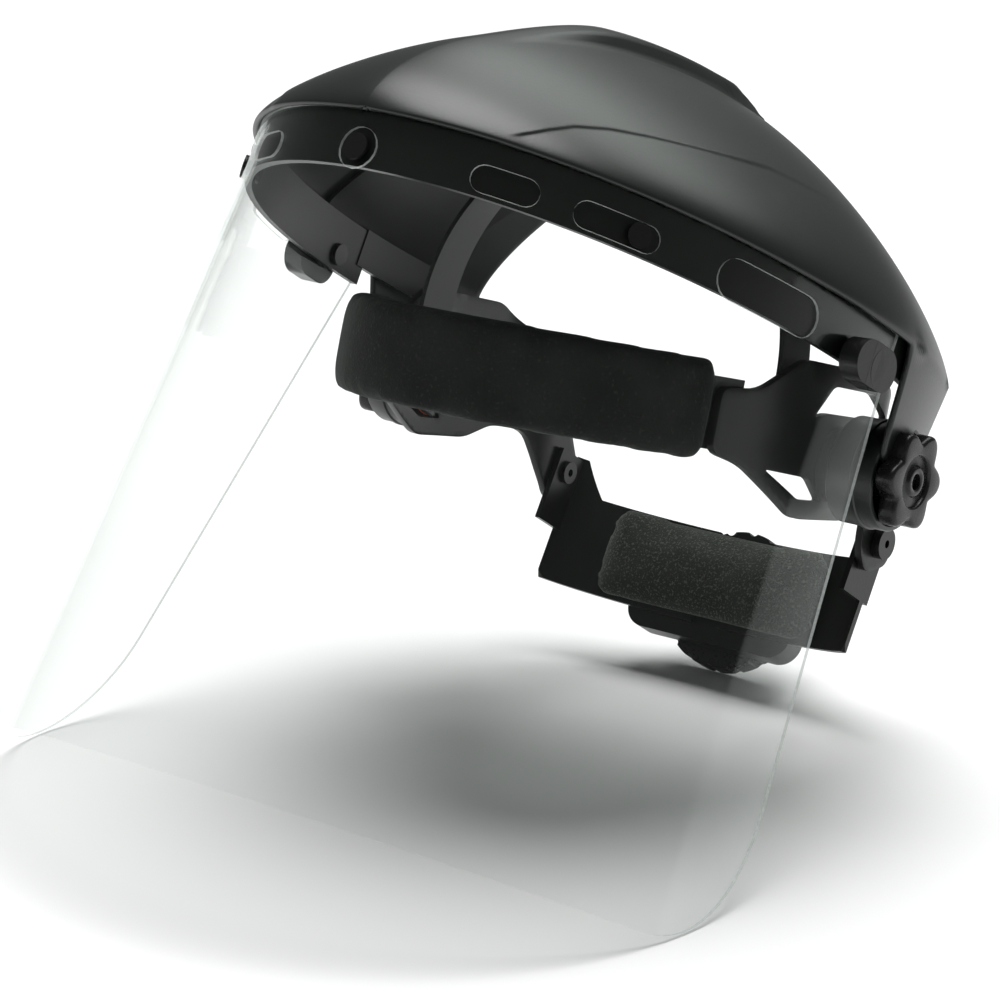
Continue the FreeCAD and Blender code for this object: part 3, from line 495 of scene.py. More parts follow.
class Finish:
    """A procedural finish that pieces can wear."""

    name: str
    slot: str

    def build(self) -> bpy.types.Material:
        """Makes the material."""
        raise NotImplementedError

    def material(self) -> bpy.types.Material:
        """The material, made once under a name that no packed material has."""
        return bpy.data.materials.get(f"finish_{self.name}") or self.build()

    def dress(self, piece: bpy.types.Object) -> bpy.types.Object:
        """Puts the finish on a new piece."""
        piece.data.materials.clear()
        piece.data.materials.append(self.material())
        return piece

    def dress_node(self, node: bpy.types.Object) -> None:
        """Puts the finish on a carried-over CAD node."""
        if not node.material_slots:
            node.data.materials.append(None)
        for held in node.material_slots:
            held.material = self.material()


@dataclass(frozen=True)
class Plastic(Finish):
    """Moulded plastic: faint mottling, a fine spark-eroded grain and scuffs that polish or dull it."""

    name: str
    slot: str
    colour: Tuple[float, float, float]
    roughness: float
    grain: float = 1400.0
    grain_depth: float = 0.00003
    scuff: float = 0.08
    gloss: float = 0.3

    def build(self) -> bpy.types.Material:
        """Colour, roughness and bump from three scales of noise."""
        g = Graph(f"finish_{self.name}")
        broad = g.noise(18.0, 3.0)
        fine = g.noise(self.grain, 2.0)
        streak = g.noise(60.0, 4.0, g.stretched((1.0, 0.25, 0.6)))
        scuffs = streak.band(0.58, 0.75)
        lighter = tuple(1.25 * c + 0.0015 for c in self.colour)
        colour = g.colours(broad.band(0.35, 0.7) * 0.7 + scuffs * 0.3, self.colour, lighter)
        rough = self.roughness + (broad - 0.5) * 0.06 + scuffs * self.scuff + (fine - 0.5) * 0.08
        pits = g.cells(0.6 * self.grain)
        height = fine * 0.6 + pits * 0.4
        shader = g.principled({"Base Color": colour, "Roughness": rough, "IOR": 1.5,
                               "Specular IOR Level": self.gloss,
                               "Normal": g.bump(height, self.grain_depth)})
        return g.finish(shader)


@dataclass(frozen=True)
class ClearSheet(Finish):
    """Clear polycarbonate face: see-through by the view's angle, with faint wiping marks."""

    name: str = "window_clear"
    slot: str = "window_clear"

    def build(self) -> bpy.types.Material:
        """Transparent and glossy mixed by share = 0.012 + 0.6 f^5, with f the facing weight of the view."""
        g = Graph(f"finish_{self.name}")
        smear = g.noise(14.0, 3.0, g.stretched((1.0, 1.0, 0.35))).band(0.52, 0.8)
        facing = g.node("ShaderNodeLayerWeight", {}, {"Blend": 0.5}, "Facing")
        glossy = g.node("ShaderNodeBsdfAnisotropic", {}, {"Color": (0.96, 1.0, 0.98, 1.0), "Roughness": 0.03})
        clear = g.node("ShaderNodeBsdfTransparent", {}, {"Color": (0.985, 0.99, 0.987, 1.0)})
        share = facing ** 5 * 0.6 + 0.012 + smear * 0.012
        return g.finish(g.node("ShaderNodeMixShader", {}, {0: share, 1: clear, 2: glossy}))


@dataclass(frozen=True)
class SheetEdge(Finish):
    """Cut edge of the clear sheet: frosted, with a pale colour that is a painted highlight for the light the
    edge gathers and refracts.
    """

    name: str = "window_edge"
    slot: str = "window_clear"

    def build(self) -> bpy.types.Material:
        """Half see-through frosted plastic with saw marks; its pale colour is a painted highlight."""
        g = Graph(f"finish_{self.name}")
        marks = g.noise(900.0, 2.0)
        # pale grey to near white: painted highlight standing in for the light caught along the cut edge
        colour = g.colours(marks, (0.5, 0.54, 0.52), (0.86, 0.9, 0.88))
        shader = g.principled({"Base Color": colour, "Roughness": 0.3 + marks * 0.25, "IOR": 1.58,
                               "Alpha": 0.55 + marks * 0.15, "Normal": g.bump(marks, 0.00002)})
        return g.finish(shader)


@dataclass(frozen=True)
class Fabric(Finish):
    """Foam-backed cloth: a fine knit under a short nap, with lighter fibres that stand out of it."""

    name: str
    slot: str
    colour: Tuple[float, float, float]
    fleck: Tuple[float, float, float]
    knit: float = 900.0
    fleck_low: float = 0.62
    fleck_high: float = 0.72
    depth: float = 0.0003
    sheen: float = 0.3

    def build(self) -> bpy.types.Material:
        """Cells of knit, a nap of noise and flecks."""
        g = Graph(f"finish_{self.name}")
        knit = g.cells(self.knit)
        nap = g.noise(1.6 * self.knit, 3.0)
        patch = g.noise(45.0, 3.0)
        flecks = g.noise(0.9 * self.knit, 1.0).band(self.fleck_low, self.fleck_high)
        worn = tuple(1.6 * c + 0.003 for c in self.colour)
        colour = g.node("ShaderNodeMix", {"data_type": "RGBA"},
                        {0: flecks * 0.8, 6: g.colours(patch.band(0.35, 0.7), self.colour, worn),
                         7: (*self.fleck, 1.0)}, 2)
        height = knit * 0.5 + nap * 0.5 + flecks * 0.4
        rough = 0.85 + (nap - 0.5) * 0.2
        shader = g.principled({"Base Color": colour, "Roughness": rough, "Sheen Weight": self.sheen,
                               "Sheen Roughness": 0.45, "Sheen Tint": (0.75, 0.8, 0.75, 1.0),
                               "Specular IOR Level": 0.2, "Normal": g.bump(height, self.depth)})
        return g.finish(shader)


@dataclass(frozen=True)
class Metal(Finish):
    """Plated or turned metal with fine tool lines round its axis."""

    name: str
    slot: str
    colour: Tuple[float, float, float]
    roughness: float = 0.3

    def build(self) -> bpy.types.Material:
        """Metal with stretched noise in roughness and bump, and dull patches."""
        g = Graph(f"finish_{self.name}")
        lines = g.noise(700.0, 2.0, g.stretched((6.0, 1.0, 1.0)))
        dull = g.noise(120.0, 3.0).band(0.5, 0.8)
        colour = g.colours(dull, self.colour, tuple(0.6 * c for c in self.colour))
        shader = g.principled({"Base Color": colour, "Metallic": 1.0,
                               "Roughness": self.roughness + lines * 0.15 + dull * 0.2,
                               "Normal": g.bump(lines, 0.00002)})
        return g.finish(shader)


class Finishes(Enum):
    """Every finish on the shield."""

    CROWN = Plastic("crown_plastic", "crown_plastic", (0.0045, 0.0068, 0.0054), 0.37, 1500.0, 0.00002, 0.03,
                    0.5)
    CARRIER = Plastic("carrier_plastic", "crown_plastic", (0.0045, 0.0058, 0.0048), 0.32, 1100.0, 0.00002)
    WINDOW = ClearSheet()
    EDGE = SheetEdge()
    STUD = Plastic("stud_plastic", "stud_plastic", (0.008, 0.008, 0.008), 0.25, 900.0)
    HEADGEAR = Plastic("headgear_plastic", "headgear_plastic", (0.007, 0.0082, 0.0072), 0.34, 1000.0, 0.00003)
    SWEATBAND = Fabric("sweatband_fabric", "sweatband_fabric", (0.0045, 0.0055, 0.0048), (0.02, 0.022, 0.02),
                       1100.0, 0.6, 0.75, 0.00016, 0.12)
    NAPE = Fabric("nape_fabric", "nape_fabric", (0.013, 0.0155, 0.012), (0.085, 0.09, 0.075),
                  1500.0, 0.54, 0.7, 0.0003, 0.25)
    KNOB = Plastic("knob_plastic", "knob_plastic", (0.009, 0.009, 0.009), 0.28, 900.0)
    GEAR = Plastic("gear_plastic", "gear_plastic", (0.58, 0.58, 0.55), 0.4, 900.0)
    FIBRE = Plastic("washer_fibre", "washer_fibre", (0.30, 0.07, 0.035), 0.6, 2000.0, 0.00005)
    STEEL = Metal("zinc_steel", "steel", (0.62, 0.62, 0.6))
    BRASS = Metal("insert_brass", "insert_brass", (0.72, 0.52, 0.22), 0.25)


# ---------------------------------------------------------------- crown

@dataclass
class Crown:
    """The moulded half dome with its ridge and temple plates, and its pivot bosses."""

    frames: Frames
    half_width: float = 109.45
    depth: float = 154.45
    lip: float = 17.5
    height: float = 75.5
    crest_back: float = 24.0
    crest_fade: float = 200.0
    front_power: float = 1.64
    side_power: float = 1.34
    rear_low: float = 59.0
    rear_top: float = 38.0
    rear_narrow: float = 12.0
    wall: float = 2.2
    temple_lean: float = 0.12
    temple_depth: float = 35.0
    ridge_front: float = -112.0
    ridge_rise: float = 5.0
    ridge_half: float = 13.0
    ramp: float = 60.0
    panel_stations: Tuple[float, ...] = (-142.0, -137.0, -131.0, -123.0, -112.0, -98.0, -80.0, -46.0, 10.0)
    panel_heights: Tuple[float, ...] = (18.5, 22.0, 26.0, 30.6, 34.8, 38.6, 42.8, 50.4, 56.0)
    rows: int = 230
    columns: int = 221

    def half(self, v: Array, inset: float) -> Array:
        """Half width at station v: an ellipse ahead of the rim's ends and a slow narrowing behind them."""
        front = np.sqrt(np.clip(1 - (np.minimum(v, 0) / (self.depth - inset)) ** 2, 0, 1))
        rear = self.rear_narrow * (np.maximum(v, 0) / self.rear_low) ** 2
        return (self.half_width - inset) * front - rear

    def crest(self, v: Array, inset: float) -> Array:
        """Height of the centre line above the lip: a superellipse before the crest, a slow fade behind it."""
        reach = np.where(v < self.crest_back, self.depth - inset + self.crest_back, self.crest_fade)
        share = np.abs((v - self.crest_back) / reach) ** self.front_power
        return (self.height - inset) * np.clip(1 - share, 0, 1) ** (1 / self.front_power)

    def ridge(self, x: Array, v: Array) -> Array:
        """Rise of the top ridge: a flat-topped spine with a front ramp and sharper edges at the rear."""
        share = np.clip((v - self.ridge_front) / (self.rear_top - self.ridge_front), 0, 1)
        band = self.ridge_half * (0.6 + 0.4 * share)
        rise = self.ridge_rise * smooth_step((v - self.ridge_front) / self.ramp)
        return rise * (1 - smooth_step((np.abs(x) / band - 0.75) / (0.5 - 0.25 * share)))

    def temple_edge(self, v: Array) -> Array:
        """Drop of the lower edge below the lip, which makes the temple plate."""
        fall = smooth_step((v - 5.0) / 17.0)
        rise = smooth_step((v - 47.0) / 14.0)
        return self.temple_depth * fall - 18.0 * rise

    def panel(self, v: Array, w: Array) -> Array:
        """Depth of the shallow side panel: below a line that climbs from the lip and fades rearwards."""
        line = np.interp(v, self.panel_stations, self.panel_heights)
        fade = smooth_step((v - self.panel_stations[0]) / 5.0) * (1 - smooth_step((v + 60.0) / 60.0))
        return 0.9 * fade * (1 - smooth_step((w - line) / 1.2 + 0.5))

    def surface(self, inset: float) -> Array:
        """The dome's outer face moved inwards by inset.

        Formula: at station v the section is x = half |cos t|^(2/p), w = lip + crest |sin t|^(2/p), run down
        past the lip to the temple edge, and divided evenly by length. The rear stations lean forwards with
        height.

        Args:
            inset: how far inside the outer face.

        Returns:
            (rows, columns, 3) points in the crown frame.
        """
        share = 1 - np.cos(np.linspace(0.0, 0.5 * math.pi, self.rows))
        v = (inset - self.depth) + (self.rear_low - inset + self.depth) * share
        half, crest, drop = self.half(v, inset), self.crest(v, inset), self.temple_edge(v)
        turn = np.linspace(0.0, math.pi, 721)
        power = 2 / self.side_power
        across = np.sign(np.cos(turn)) * np.abs(np.cos(turn)) ** power
        rise = np.abs(np.sin(turn)) ** power
        fall = np.linspace(1.0, 0.0, 60, endpoint=False)[None, :]
        skirt_x = half[:, None] - self.temple_lean * drop[:, None] * fall
        skirt_w = self.lip - drop[:, None] * fall
        x = np.concatenate([skirt_x, half[:, None] * across[None, :], -skirt_x[:, ::-1]], axis=1)
        w = np.concatenate([skirt_w, self.lip + crest[:, None] * rise[None, :], skirt_w[:, ::-1]], axis=1)
        step = np.hypot(np.diff(x, axis=1), np.diff(w, axis=1))
        reach = np.concatenate([np.zeros((self.rows, 1)), np.cumsum(step, axis=1)], axis=1)
        even = np.linspace(0.0, 1.0, self.columns)
        at = [np.interp(even * length[-1], length, values) for length, values in zip(reach, x)]
        up = [np.interp(even * length[-1], length, values) for length, values in zip(reach, w)]
        x, w = np.array(at), np.array(up)
        v = np.broadcast_to(v[:, None], x.shape)
        w = w + self.ridge(x, v)
        above = np.clip((w - self.lip) / self.height, 0.0, 1.2)
        lean = (self.rear_top - self.rear_low) * above * smooth_step(v / self.rear_low)
        x = x - np.sign(x) * self.panel(v, w)
        return np.stack([x, v + lean, w], axis=-1)

    def dome(self) -> bpy.types.Object:
        """Dome, ridge and temple plates as one thin shell with a rounded edge."""
        points, faces = closed_shell(self.surface(0.0), self.surface(self.wall))
        piece = make_piece("crown_dome", self.frames.crown.row(points), faces)
        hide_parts("crown_shell")
        return piece

    def boss(self, name: str, side: float) -> bpy.types.Object:
        """Round pivot boss with a cup for the knob: a profile turned about the pivot's axis."""
        inner, outer, radius, cup, hole = 85.25, 102.28, 17.5, 15.4, 2.6
        profile = np.array([  # place along the axis and radius: outside, face, then the cup
            (inner, hole), (inner, radius - 0.6), (inner + 0.6, radius), (inner + 9.0, radius),
            (inner + 9.4, radius + 0.5), (inner + 10.6, radius + 0.5), (inner + 11.0, radius),
            (outer - 0.8, radius), (outer - 0.2, radius - 0.3), (outer, radius - 0.9), (outer, cup + 0.5),
            (outer - 0.5, cup), (inner + 3.4, cup), (inner + 2.8, cup - 0.6), (inner + 2.8, hole),
            (inner, hole)])
        angles = np.arange(72) * 2 * math.pi / 72
        grid = turned_grid(profile[:, 0], profile[:, 1:2], angles)
        grid[..., 0] *= side
        points = self.frames.head.row(grid)
        piece = make_piece(name, points, grid_faces(len(profile), 72, wrap_columns=True))
        smooth_by_angle(piece, 35.0)
        return piece

    def build(self) -> List[bpy.types.Object]:
        """Makes and dresses the crown's own mouldings."""
        made = [self.dome()] + [self.boss(f"temple_boss_{name}", side) for name, side in SIDES]
        for piece in made:
            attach(Finishes.CROWN.value.dress(piece), "crown")
        return made


# ---------------------------------------------------------------- window

@dataclass
class Window:
    """Clear sheet that wraps the rim and flares to its free lower edge."""

    frames: Frames
    rim_half: float = 106.75
    rim_depth: float = 151.75
    foot_half: float = 131.0
    foot_depth: float = 124.0
    foot_forward: float = 30.0
    top: float = 17.5
    height: float = 203.0
    corner: float = 46.0
    sheet: float = 1.0
    gap: float = 0.15
    hole_height: float = 5.5
    holes: Tuple[Tuple[float, float, float], ...] = ((0.0, 13.0, 13.0), (47.5, 21.0, 8.5), (82.5, 28.0, 8.5),
                                                     (139.3, 42.7, 13.0), (186.3, 8.0, 8.0))
    arcs: Array = field(init=False)
    turns: Array = field(init=False)

    def __post_init__(self) -> None:
        """Tables the rim's arc length against its angle."""
        self.turns = np.linspace(0.0, 0.5 * math.pi, 2000)
        inset = self.sheet + self.gap
        x, v = (self.rim_half - inset) * np.sin(self.turns), (self.rim_depth - inset) * np.cos(self.turns)
        self.arcs = np.concatenate([[0.0], np.cumsum(np.hypot(np.diff(x), np.diff(v)))])

    def place(self, pattern: Array, depth: float) -> Array:
        """Bends the flat pattern (arc along the rim, height) to the sheet.

        Formula: above the rim's lower edge the sheet is an elliptic prism; below it each point moves in a
        straight line from the rim's ellipse to the foot's ellipse at the same angle.

        Args:
            pattern: (n, 2) arc and height.
            depth: distance inside the outer face.

        Returns:
            (n, 3) row-frame points.
        """
        turn = np.interp(np.abs(pattern[:, 0]), self.arcs, self.turns) * np.sign(pattern[:, 0])
        share = np.clip(-pattern[:, 1] / (self.height - self.top), 0.0, 1.0)
        half = (self.rim_half - depth) * (1 - share) + (self.foot_half - depth) * share
        long = (self.rim_depth - depth) * (1 - share) + (self.foot_depth - depth) * share
        shift = -self.foot_forward * share
        local = np.stack([half * np.sin(turn), shift - long * np.cos(turn), pattern[:, 1]], axis=-1)
        return self.frames.crown.row(local)

    def outline(self) -> Array:
        """Flat outline: straight top and ends, a straight foot and two round lower corners."""
        end = self.arcs[-1]
        foot = self.top - self.height
        turn = np.linspace(0.0, 0.5 * math.pi, 16)
        back = self.corner * (1 - np.sin(turn))
        rise = self.corner * (1 - np.cos(turn))
        right = np.stack([end - back, foot + rise], axis=-1)
        left = np.stack([-right[::-1, 0], right[::-1, 1]], axis=-1)
        upper = np.array([(end, self.top), (-end, self.top)])
        return np.concatenate([right, upper, left])

    def build(self) -> List[bpy.types.Object]:
        """Cuts, bends and dresses the sheet."""
        loops = [self.outline()]
        for arc, length, width in self.holes:
            loops += [long_hole(side * arc, self.hole_height, length, width)
                      for side in ((1, -1) if arc else (1,))]
        points, faces, flat = cut_sheet(loops, self.place, self.sheet, 3.0)
        piece = make_piece("clear_window", points, faces, finish_slots=np.arange(len(faces)) >= flat)
        for finish in (Finishes.WINDOW, Finishes.EDGE):
            piece.data.materials.append(finish.value.material())
        smooth_by_angle(piece, 50.0)
        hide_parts("face_window")
        return [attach(piece, "crown")]


# ---------------------------------------------------------------- pivots and knobs

@dataclass
class TensionKnobs:
    """Six-lobed knobs at the temples."""

    frames: Frames
    face: float = 102.65
    thick: float = 6.4
    lobes: int = 6
    valley: float = 12.6
    lobe: float = 4.2
    neck: float = 8.0
    neck_start: float = 89.35

    def knob(self, name: str, side: float) -> bpy.types.Object:
        """One knob.

        Formula: along the profile the radius is r = c + m (a + b ((1 + cos 6 t) / 2)^0.8), where m is 0 on
        the round neck and centre ring and 1 on the star.

        Args:
            name: the piece's name.
            side: 1 for the wearer's left, -1 for the right.

        Returns:
            The knob.
        """
        front = self.face + self.thick
        rows = np.array([  # place along the axis, round radius, share of the star, trim of the star's edge
            (self.neck_start, 0.0, 0, 0), (self.neck_start, self.neck - 0.4, 0, 0),
            (self.neck_start + 0.4, self.neck, 0, 0), (self.face - 0.2, self.neck, 0, 0),
            (self.face, self.neck + 0.4, 0, 0), (self.face, 0, 1, 1.0), (self.face + 0.3, 0, 1, 0.3),
            (self.face + 1.0, 0, 1, 0), (front - 1.6, 0, 1, 0), (front - 0.7, 0, 1, 0.25),
            (front - 0.2, 0, 1, 0.8), (front, 0, 1, 1.7), (front, 9.2, 0, 0), (front - 0.1, 8.8, 0, 0),
            (front - 0.5, 8.5, 0, 0), (front - 1.2, 8.3, 0, 0), (front - 1.2, 5.4, 0, 0),
            (front - 0.9, 5.0, 0, 0), (front - 0.2, 4.7, 0, 0), (front, 4.3, 0, 0), (front, 3.0, 0, 0),
            (front - 0.3, 2.6, 0, 0), (front - 2.0, 2.4, 0, 0), (front - 2.2, 0.0, 0, 0)])
        angles = np.arange(144) * 2 * math.pi / 144
        star = self.valley + self.lobe * ((1 + np.cos(self.lobes * angles)) / 2) ** 0.8
        radius = rows[:, 1:2] + rows[:, 2:3] * (star[None, :] - rows[:, 3:4])
        grid = turned_grid(rows[:, 0], radius, angles)
        grid[..., 0] *= side
        piece = make_piece(name, self.frames.head.row(grid), grid_faces(len(rows), 144, wrap_columns=True))
        smooth_by_angle(piece, 42.0)
        return piece

    def build(self) -> List[bpy.types.Object]:
        """Makes and dresses both knobs."""
        made = []
        for name, side in SIDES:
            piece = Finishes.KNOB.value.dress(self.knob(f"star_knob_{name}", side))
            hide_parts(f"tension_knob_{name}")
            made.append(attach(piece, f"knob_{name}"))
        return made


# ---------------------------------------------------------------- headgear

@dataclass
class Headgear:
    """Side plates with their open loops and the sweatband; the strap over the head stays a carried-over CAD
    node.
    """

    frames: Frames
    plate_half: float = 78.6
    plate_wall: float = 2.6
    band_depth: float = 131.0
    straight: float = 25.0
    curve_in: float = 11.0
    button_back: float = 59.6
    button_drop: float = 25.1
    pivot_bore: float = 2.56
    button_bore: float = 3.06
    band_half: float = 78.0
    pad_low: float = -5.0
    pad_high: float = 27.0
    pad_out: float = 4.0
    pad_in: float = 6.0
    band_wall: float = 1.8
    pad_end: float = -62.0

    def plate_line(self, v: Array) -> Array:
        """Plan line of the plates: the band's ellipse, a straight, then a smooth step inwards."""
        front = self.plate_half * np.sqrt(np.clip(1 - (np.minimum(v, 0) / self.band_depth) ** 2, 0, 1))
        share = (v - self.straight) / (self.button_back - 9.0 - self.straight)
        return front - self.curve_in * smooth_step(share)

    def side_plate(self, name: str, side: float) -> bpy.types.Object:
        """Side plate cut from one sheet: arm, six-sided loop round the pivot and arm down to the nape."""
        front = self.pad_end + 0.3
        outline = [(front, -1.8), (-48, -4.5), (-19, -19), (11, -18), (26, -12.5), (39, -12.5), (47, -27),
                   (54, -36), (68, -33), (70, -24), (56, -2), (46, 10), (38, 22), (20, 31), (-27, 32),
                   (-46, 20), (front, 19)]
        upper = [(-18, 14), (-9, 25), (17, 24.5), (34, 14), (22, 13), (13, 16), (-10, 16)]
        lower = [(-38, -4.5), (-18.5, -12.7), (-5, -12.5), (-14, -5.5)]
        rear = [(15, -9.5), (27, -2), (34, 4), (24, 5), (18, -1)]
        loops = [rounded_outline(outline, 4.0), rounded_outline(upper, 2.5), rounded_outline(lower, 2.0),
                 rounded_outline(rear, 2.0), round_hole((0, 0), self.pivot_bore),
                 round_hole((self.button_back, -self.button_drop), self.button_bore)]

        def place(pattern: Array, depth: float) -> Array:
            """Bends the pattern (v, w) to the plates' plan line."""
            x = self.plate_line(pattern[:, 0]) - depth
            return self.frames.head.row(np.stack([side * x, pattern[:, 0], pattern[:, 1]], axis=-1))

        points, faces, _ = cut_sheet(loops, place, self.plate_wall, 2.0)
        piece = make_piece(name, points, faces)
        return bevel(piece, 0.45)

    def sweatband(self) -> bpy.types.Object:
        """Padded sleeve round the headband's front.

        Formula: a rounded-rectangle section (superellipse of power 4) carried along the band's half ellipse.
        """
        half, depth = self.band_half - self.plate_wall, self.band_depth - self.plate_wall
        middle = 0.5 * (self.pad_out - self.band_wall - self.pad_in)
        thick = 0.5 * (self.pad_out + self.band_wall + self.pad_in)
        limit = math.acos(-self.pad_end / (depth + middle))
        path = np.linspace(-limit, limit, 150)
        section = np.arange(48) * 2 * math.pi / 48
        a = np.sign(np.cos(section)) * np.abs(np.cos(section)) ** 0.5
        b = np.sign(np.sin(section)) * np.abs(np.sin(section)) ** 0.5
        ends = np.clip(np.minimum(path + limit, limit - path) / 0.02, 0.0, 1.0)
        squeeze = np.sqrt(1 - (1 - ends) ** 2) * 0.35 + 0.65
        out = middle + thick * a[None, :] * squeeze[:, None]
        up = 0.5 * (self.pad_low + self.pad_high) + 0.5 * (self.pad_high - self.pad_low) * b[None, :] * (
            0.3 * squeeze[:, None] + 0.7)
        x = (half + out) * np.sin(path)[:, None]
        v = -(depth + out) * np.cos(path)[:, None]
        grid = capped(np.stack(np.broadcast_arrays(x, v, up), axis=-1))
        faces = grid_faces(*grid.shape[:2], wrap_columns=True)
        return make_piece("brow_sweatband", self.frames.head.row(grid), faces)

    def build(self) -> List[bpy.types.Object]:
        """Makes and dresses the headgear's new pieces."""
        made = []
        for name, side in SIDES:
            piece = Finishes.HEADGEAR.value.dress(self.side_plate(f"loop_plate_{name}", side))
            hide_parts(f"side_plate_{name}")
            made.append(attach(piece, "headgear"))
        pad = soften(self.sweatband(), 3.2, 2.5, 1.5)
        Finishes.SWEATBAND.value.dress(pad)
        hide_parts("brow_pad")
        made.append(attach(pad, "headgear"))
        return made


def soften(pad: bpy.types.Object, voxel: float, cap: float, pressure: float) -> bpy.types.Object:
    """Lets a pad swell as cloth and keeps the result.

    Args:
        pad: the closed pad.
        voxel: remesh size in millimetres.
        cap: the furthest that a point may move, in millimetres.
        pressure: the cloth's inner pressure.

    Returns:
        The softened pad.
    """
    scene = bpy.context.scene
    bpy.context.view_layer.objects.active = pad
    remesh = pad.modifiers.new("remesh", "REMESH")
    remesh.mode = "VOXEL"
    remesh.voxel_size = voxel * MM
    apply_modifiers(pad)
    start = np.empty(3 * len(pad.data.vertices))
    pad.data.vertices.foreach_get("co", start)
    cloth = pad.modifiers.new("cloth", "CLOTH")
    cloth.settings.use_pressure = True
    cloth.settings.uniform_pressure_force = pressure
    cloth.settings.effector_weights.gravity = 0.0
    cloth.settings.quality = 5
    for number in range(1, 21):
        scene.frame_set(number)
    apply_modifiers(pad)
    end = np.empty_like(start)
    pad.data.vertices.foreach_get("co", end)
    move = (end - start).reshape(-1, 3)
    length = np.linalg.norm(move, axis=1, keepdims=True)
    move *= np.minimum(1.0, cap * MM / np.maximum(length, 1e-9))
    pad.data.vertices.foreach_set("co", (start.reshape(-1, 3) + move).ravel())
    finer = pad.modifiers.new("finer", "SUBSURF")
    finer.levels = finer.render_levels = 1
    apply_modifiers(pad)
    scene.frame_set(1)
    pad.data.polygons.foreach_set("use_smooth", np.ones(len(pad.data.polygons), dtype=bool))
    return pad


def apply_modifiers(piece: bpy.types.Object) -> None:
    """Replaces a piece's mesh by what its modifiers make of it."""
    graph = bpy.context.evaluated_depsgraph_get()
    mesh = bpy.data.meshes.new_from_object(piece.evaluated_get(graph))
    piece.modifiers.clear()
    piece.data = mesh


# ---------------------------------------------------------------- nape

@dataclass
class Nape:
    """The cushion inside the nape strap."""

    frames: Frames
    half_width: float = 70.0
    depth: float = 23.0
    low: float = -37.8
    high: float = -4.9
    pad_half: float = 48.0
    thick: float = 8.0
    gap: float = 2.2

    def cushion(self) -> bpy.types.Object:
        """Soft cushion that follows the strap's curve.

        Formula: x = (half + o) cos t and v = (depth + o) sin t, with o and w from a superellipse section of
        power 3 that thins towards both ends.
        """
        reach = math.asin(self.pad_half / self.half_width)
        turn = np.linspace(0.5 * math.pi - reach, 0.5 * math.pi + reach, 110)
        section = np.arange(40) * 2 * math.pi / 40
        a = np.sign(np.cos(section)) * np.abs(np.cos(section)) ** 0.66
        b = np.sign(np.sin(section)) * np.abs(np.sin(section)) ** 0.66
        ends = np.clip(np.minimum(turn - turn[0], turn[-1] - turn) / 0.09, 0.0, 1.0)
        full = np.sqrt(1 - (1 - ends) ** 2) * 0.75 + 0.25
        offset = -self.gap - 0.5 * self.thick * full[:, None] * (1 - a[None, :])
        tall = 0.5 * (self.high - self.low) * (0.25 * full[:, None] + 0.75)
        up = 0.5 * (self.low + self.high) + tall * b[None, :]
        x = (self.half_width + offset) * np.cos(turn)[:, None]
        v = (self.depth + offset) * np.sin(turn)[:, None]
        grid = capped(np.stack(np.broadcast_arrays(x, v, up), axis=-1))
        faces = grid_faces(*grid.shape[:2], wrap_columns=True)
        return make_piece("nape_cushion", self.frames.nape.row(grid), faces)

    def build(self) -> List[bpy.types.Object]:
        """Makes and dresses the nape's new pieces."""
        pad = soften(self.cushion(), 2.5, 3.0, 1.5)
        Finishes.NAPE.value.dress(pad)
        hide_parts("nape_pad")
        return [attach(pad, "nape")]


# ---------------------------------------------------------------- carried-over nodes

NODE_FINISHES: Dict[str, Finishes] = {
    "window_carrier": Finishes.CARRIER, "front_stud": Finishes.STUD, "side_stud": Finishes.STUD,
    "end_button": Finishes.STUD, "headband": Finishes.HEADGEAR, "overhead_strap": Finishes.HEADGEAR,
    "strap_pin": Finishes.STUD, "pivot_hub": Finishes.HEADGEAR, "friction_washer": Finishes.FIBRE,
    "spring_washer": Finishes.STEEL, "pivot_bolt": Finishes.STEEL, "knob_insert": Finishes.BRASS,
    "nape_strap": Finishes.HEADGEAR, "nape_button": Finishes.STUD,
    "ratchet_housing": Finishes.HEADGEAR, "ratchet_cover": Finishes.HEADGEAR, "ratchet_knob": Finishes.KNOB,
    "ratchet_pinion": Finishes.GEAR, "ratchet_rack": Finishes.GEAR, "detent_spring": Finishes.STEEL,
}


def dress_nodes(nodes: Dict[str, bpy.types.Object]) -> None:
    """Dresses every CAD node that is still shown."""
    for name, node in sorted(nodes.items()):
        if node.hide_render:
            continue
        base = name.removesuffix("_left").removesuffix("_right")
        NODE_FINISHES[base].value.dress_node(node)
        LOG.info("dressed %s", name)


# ---------------------------------------------------------------- studio

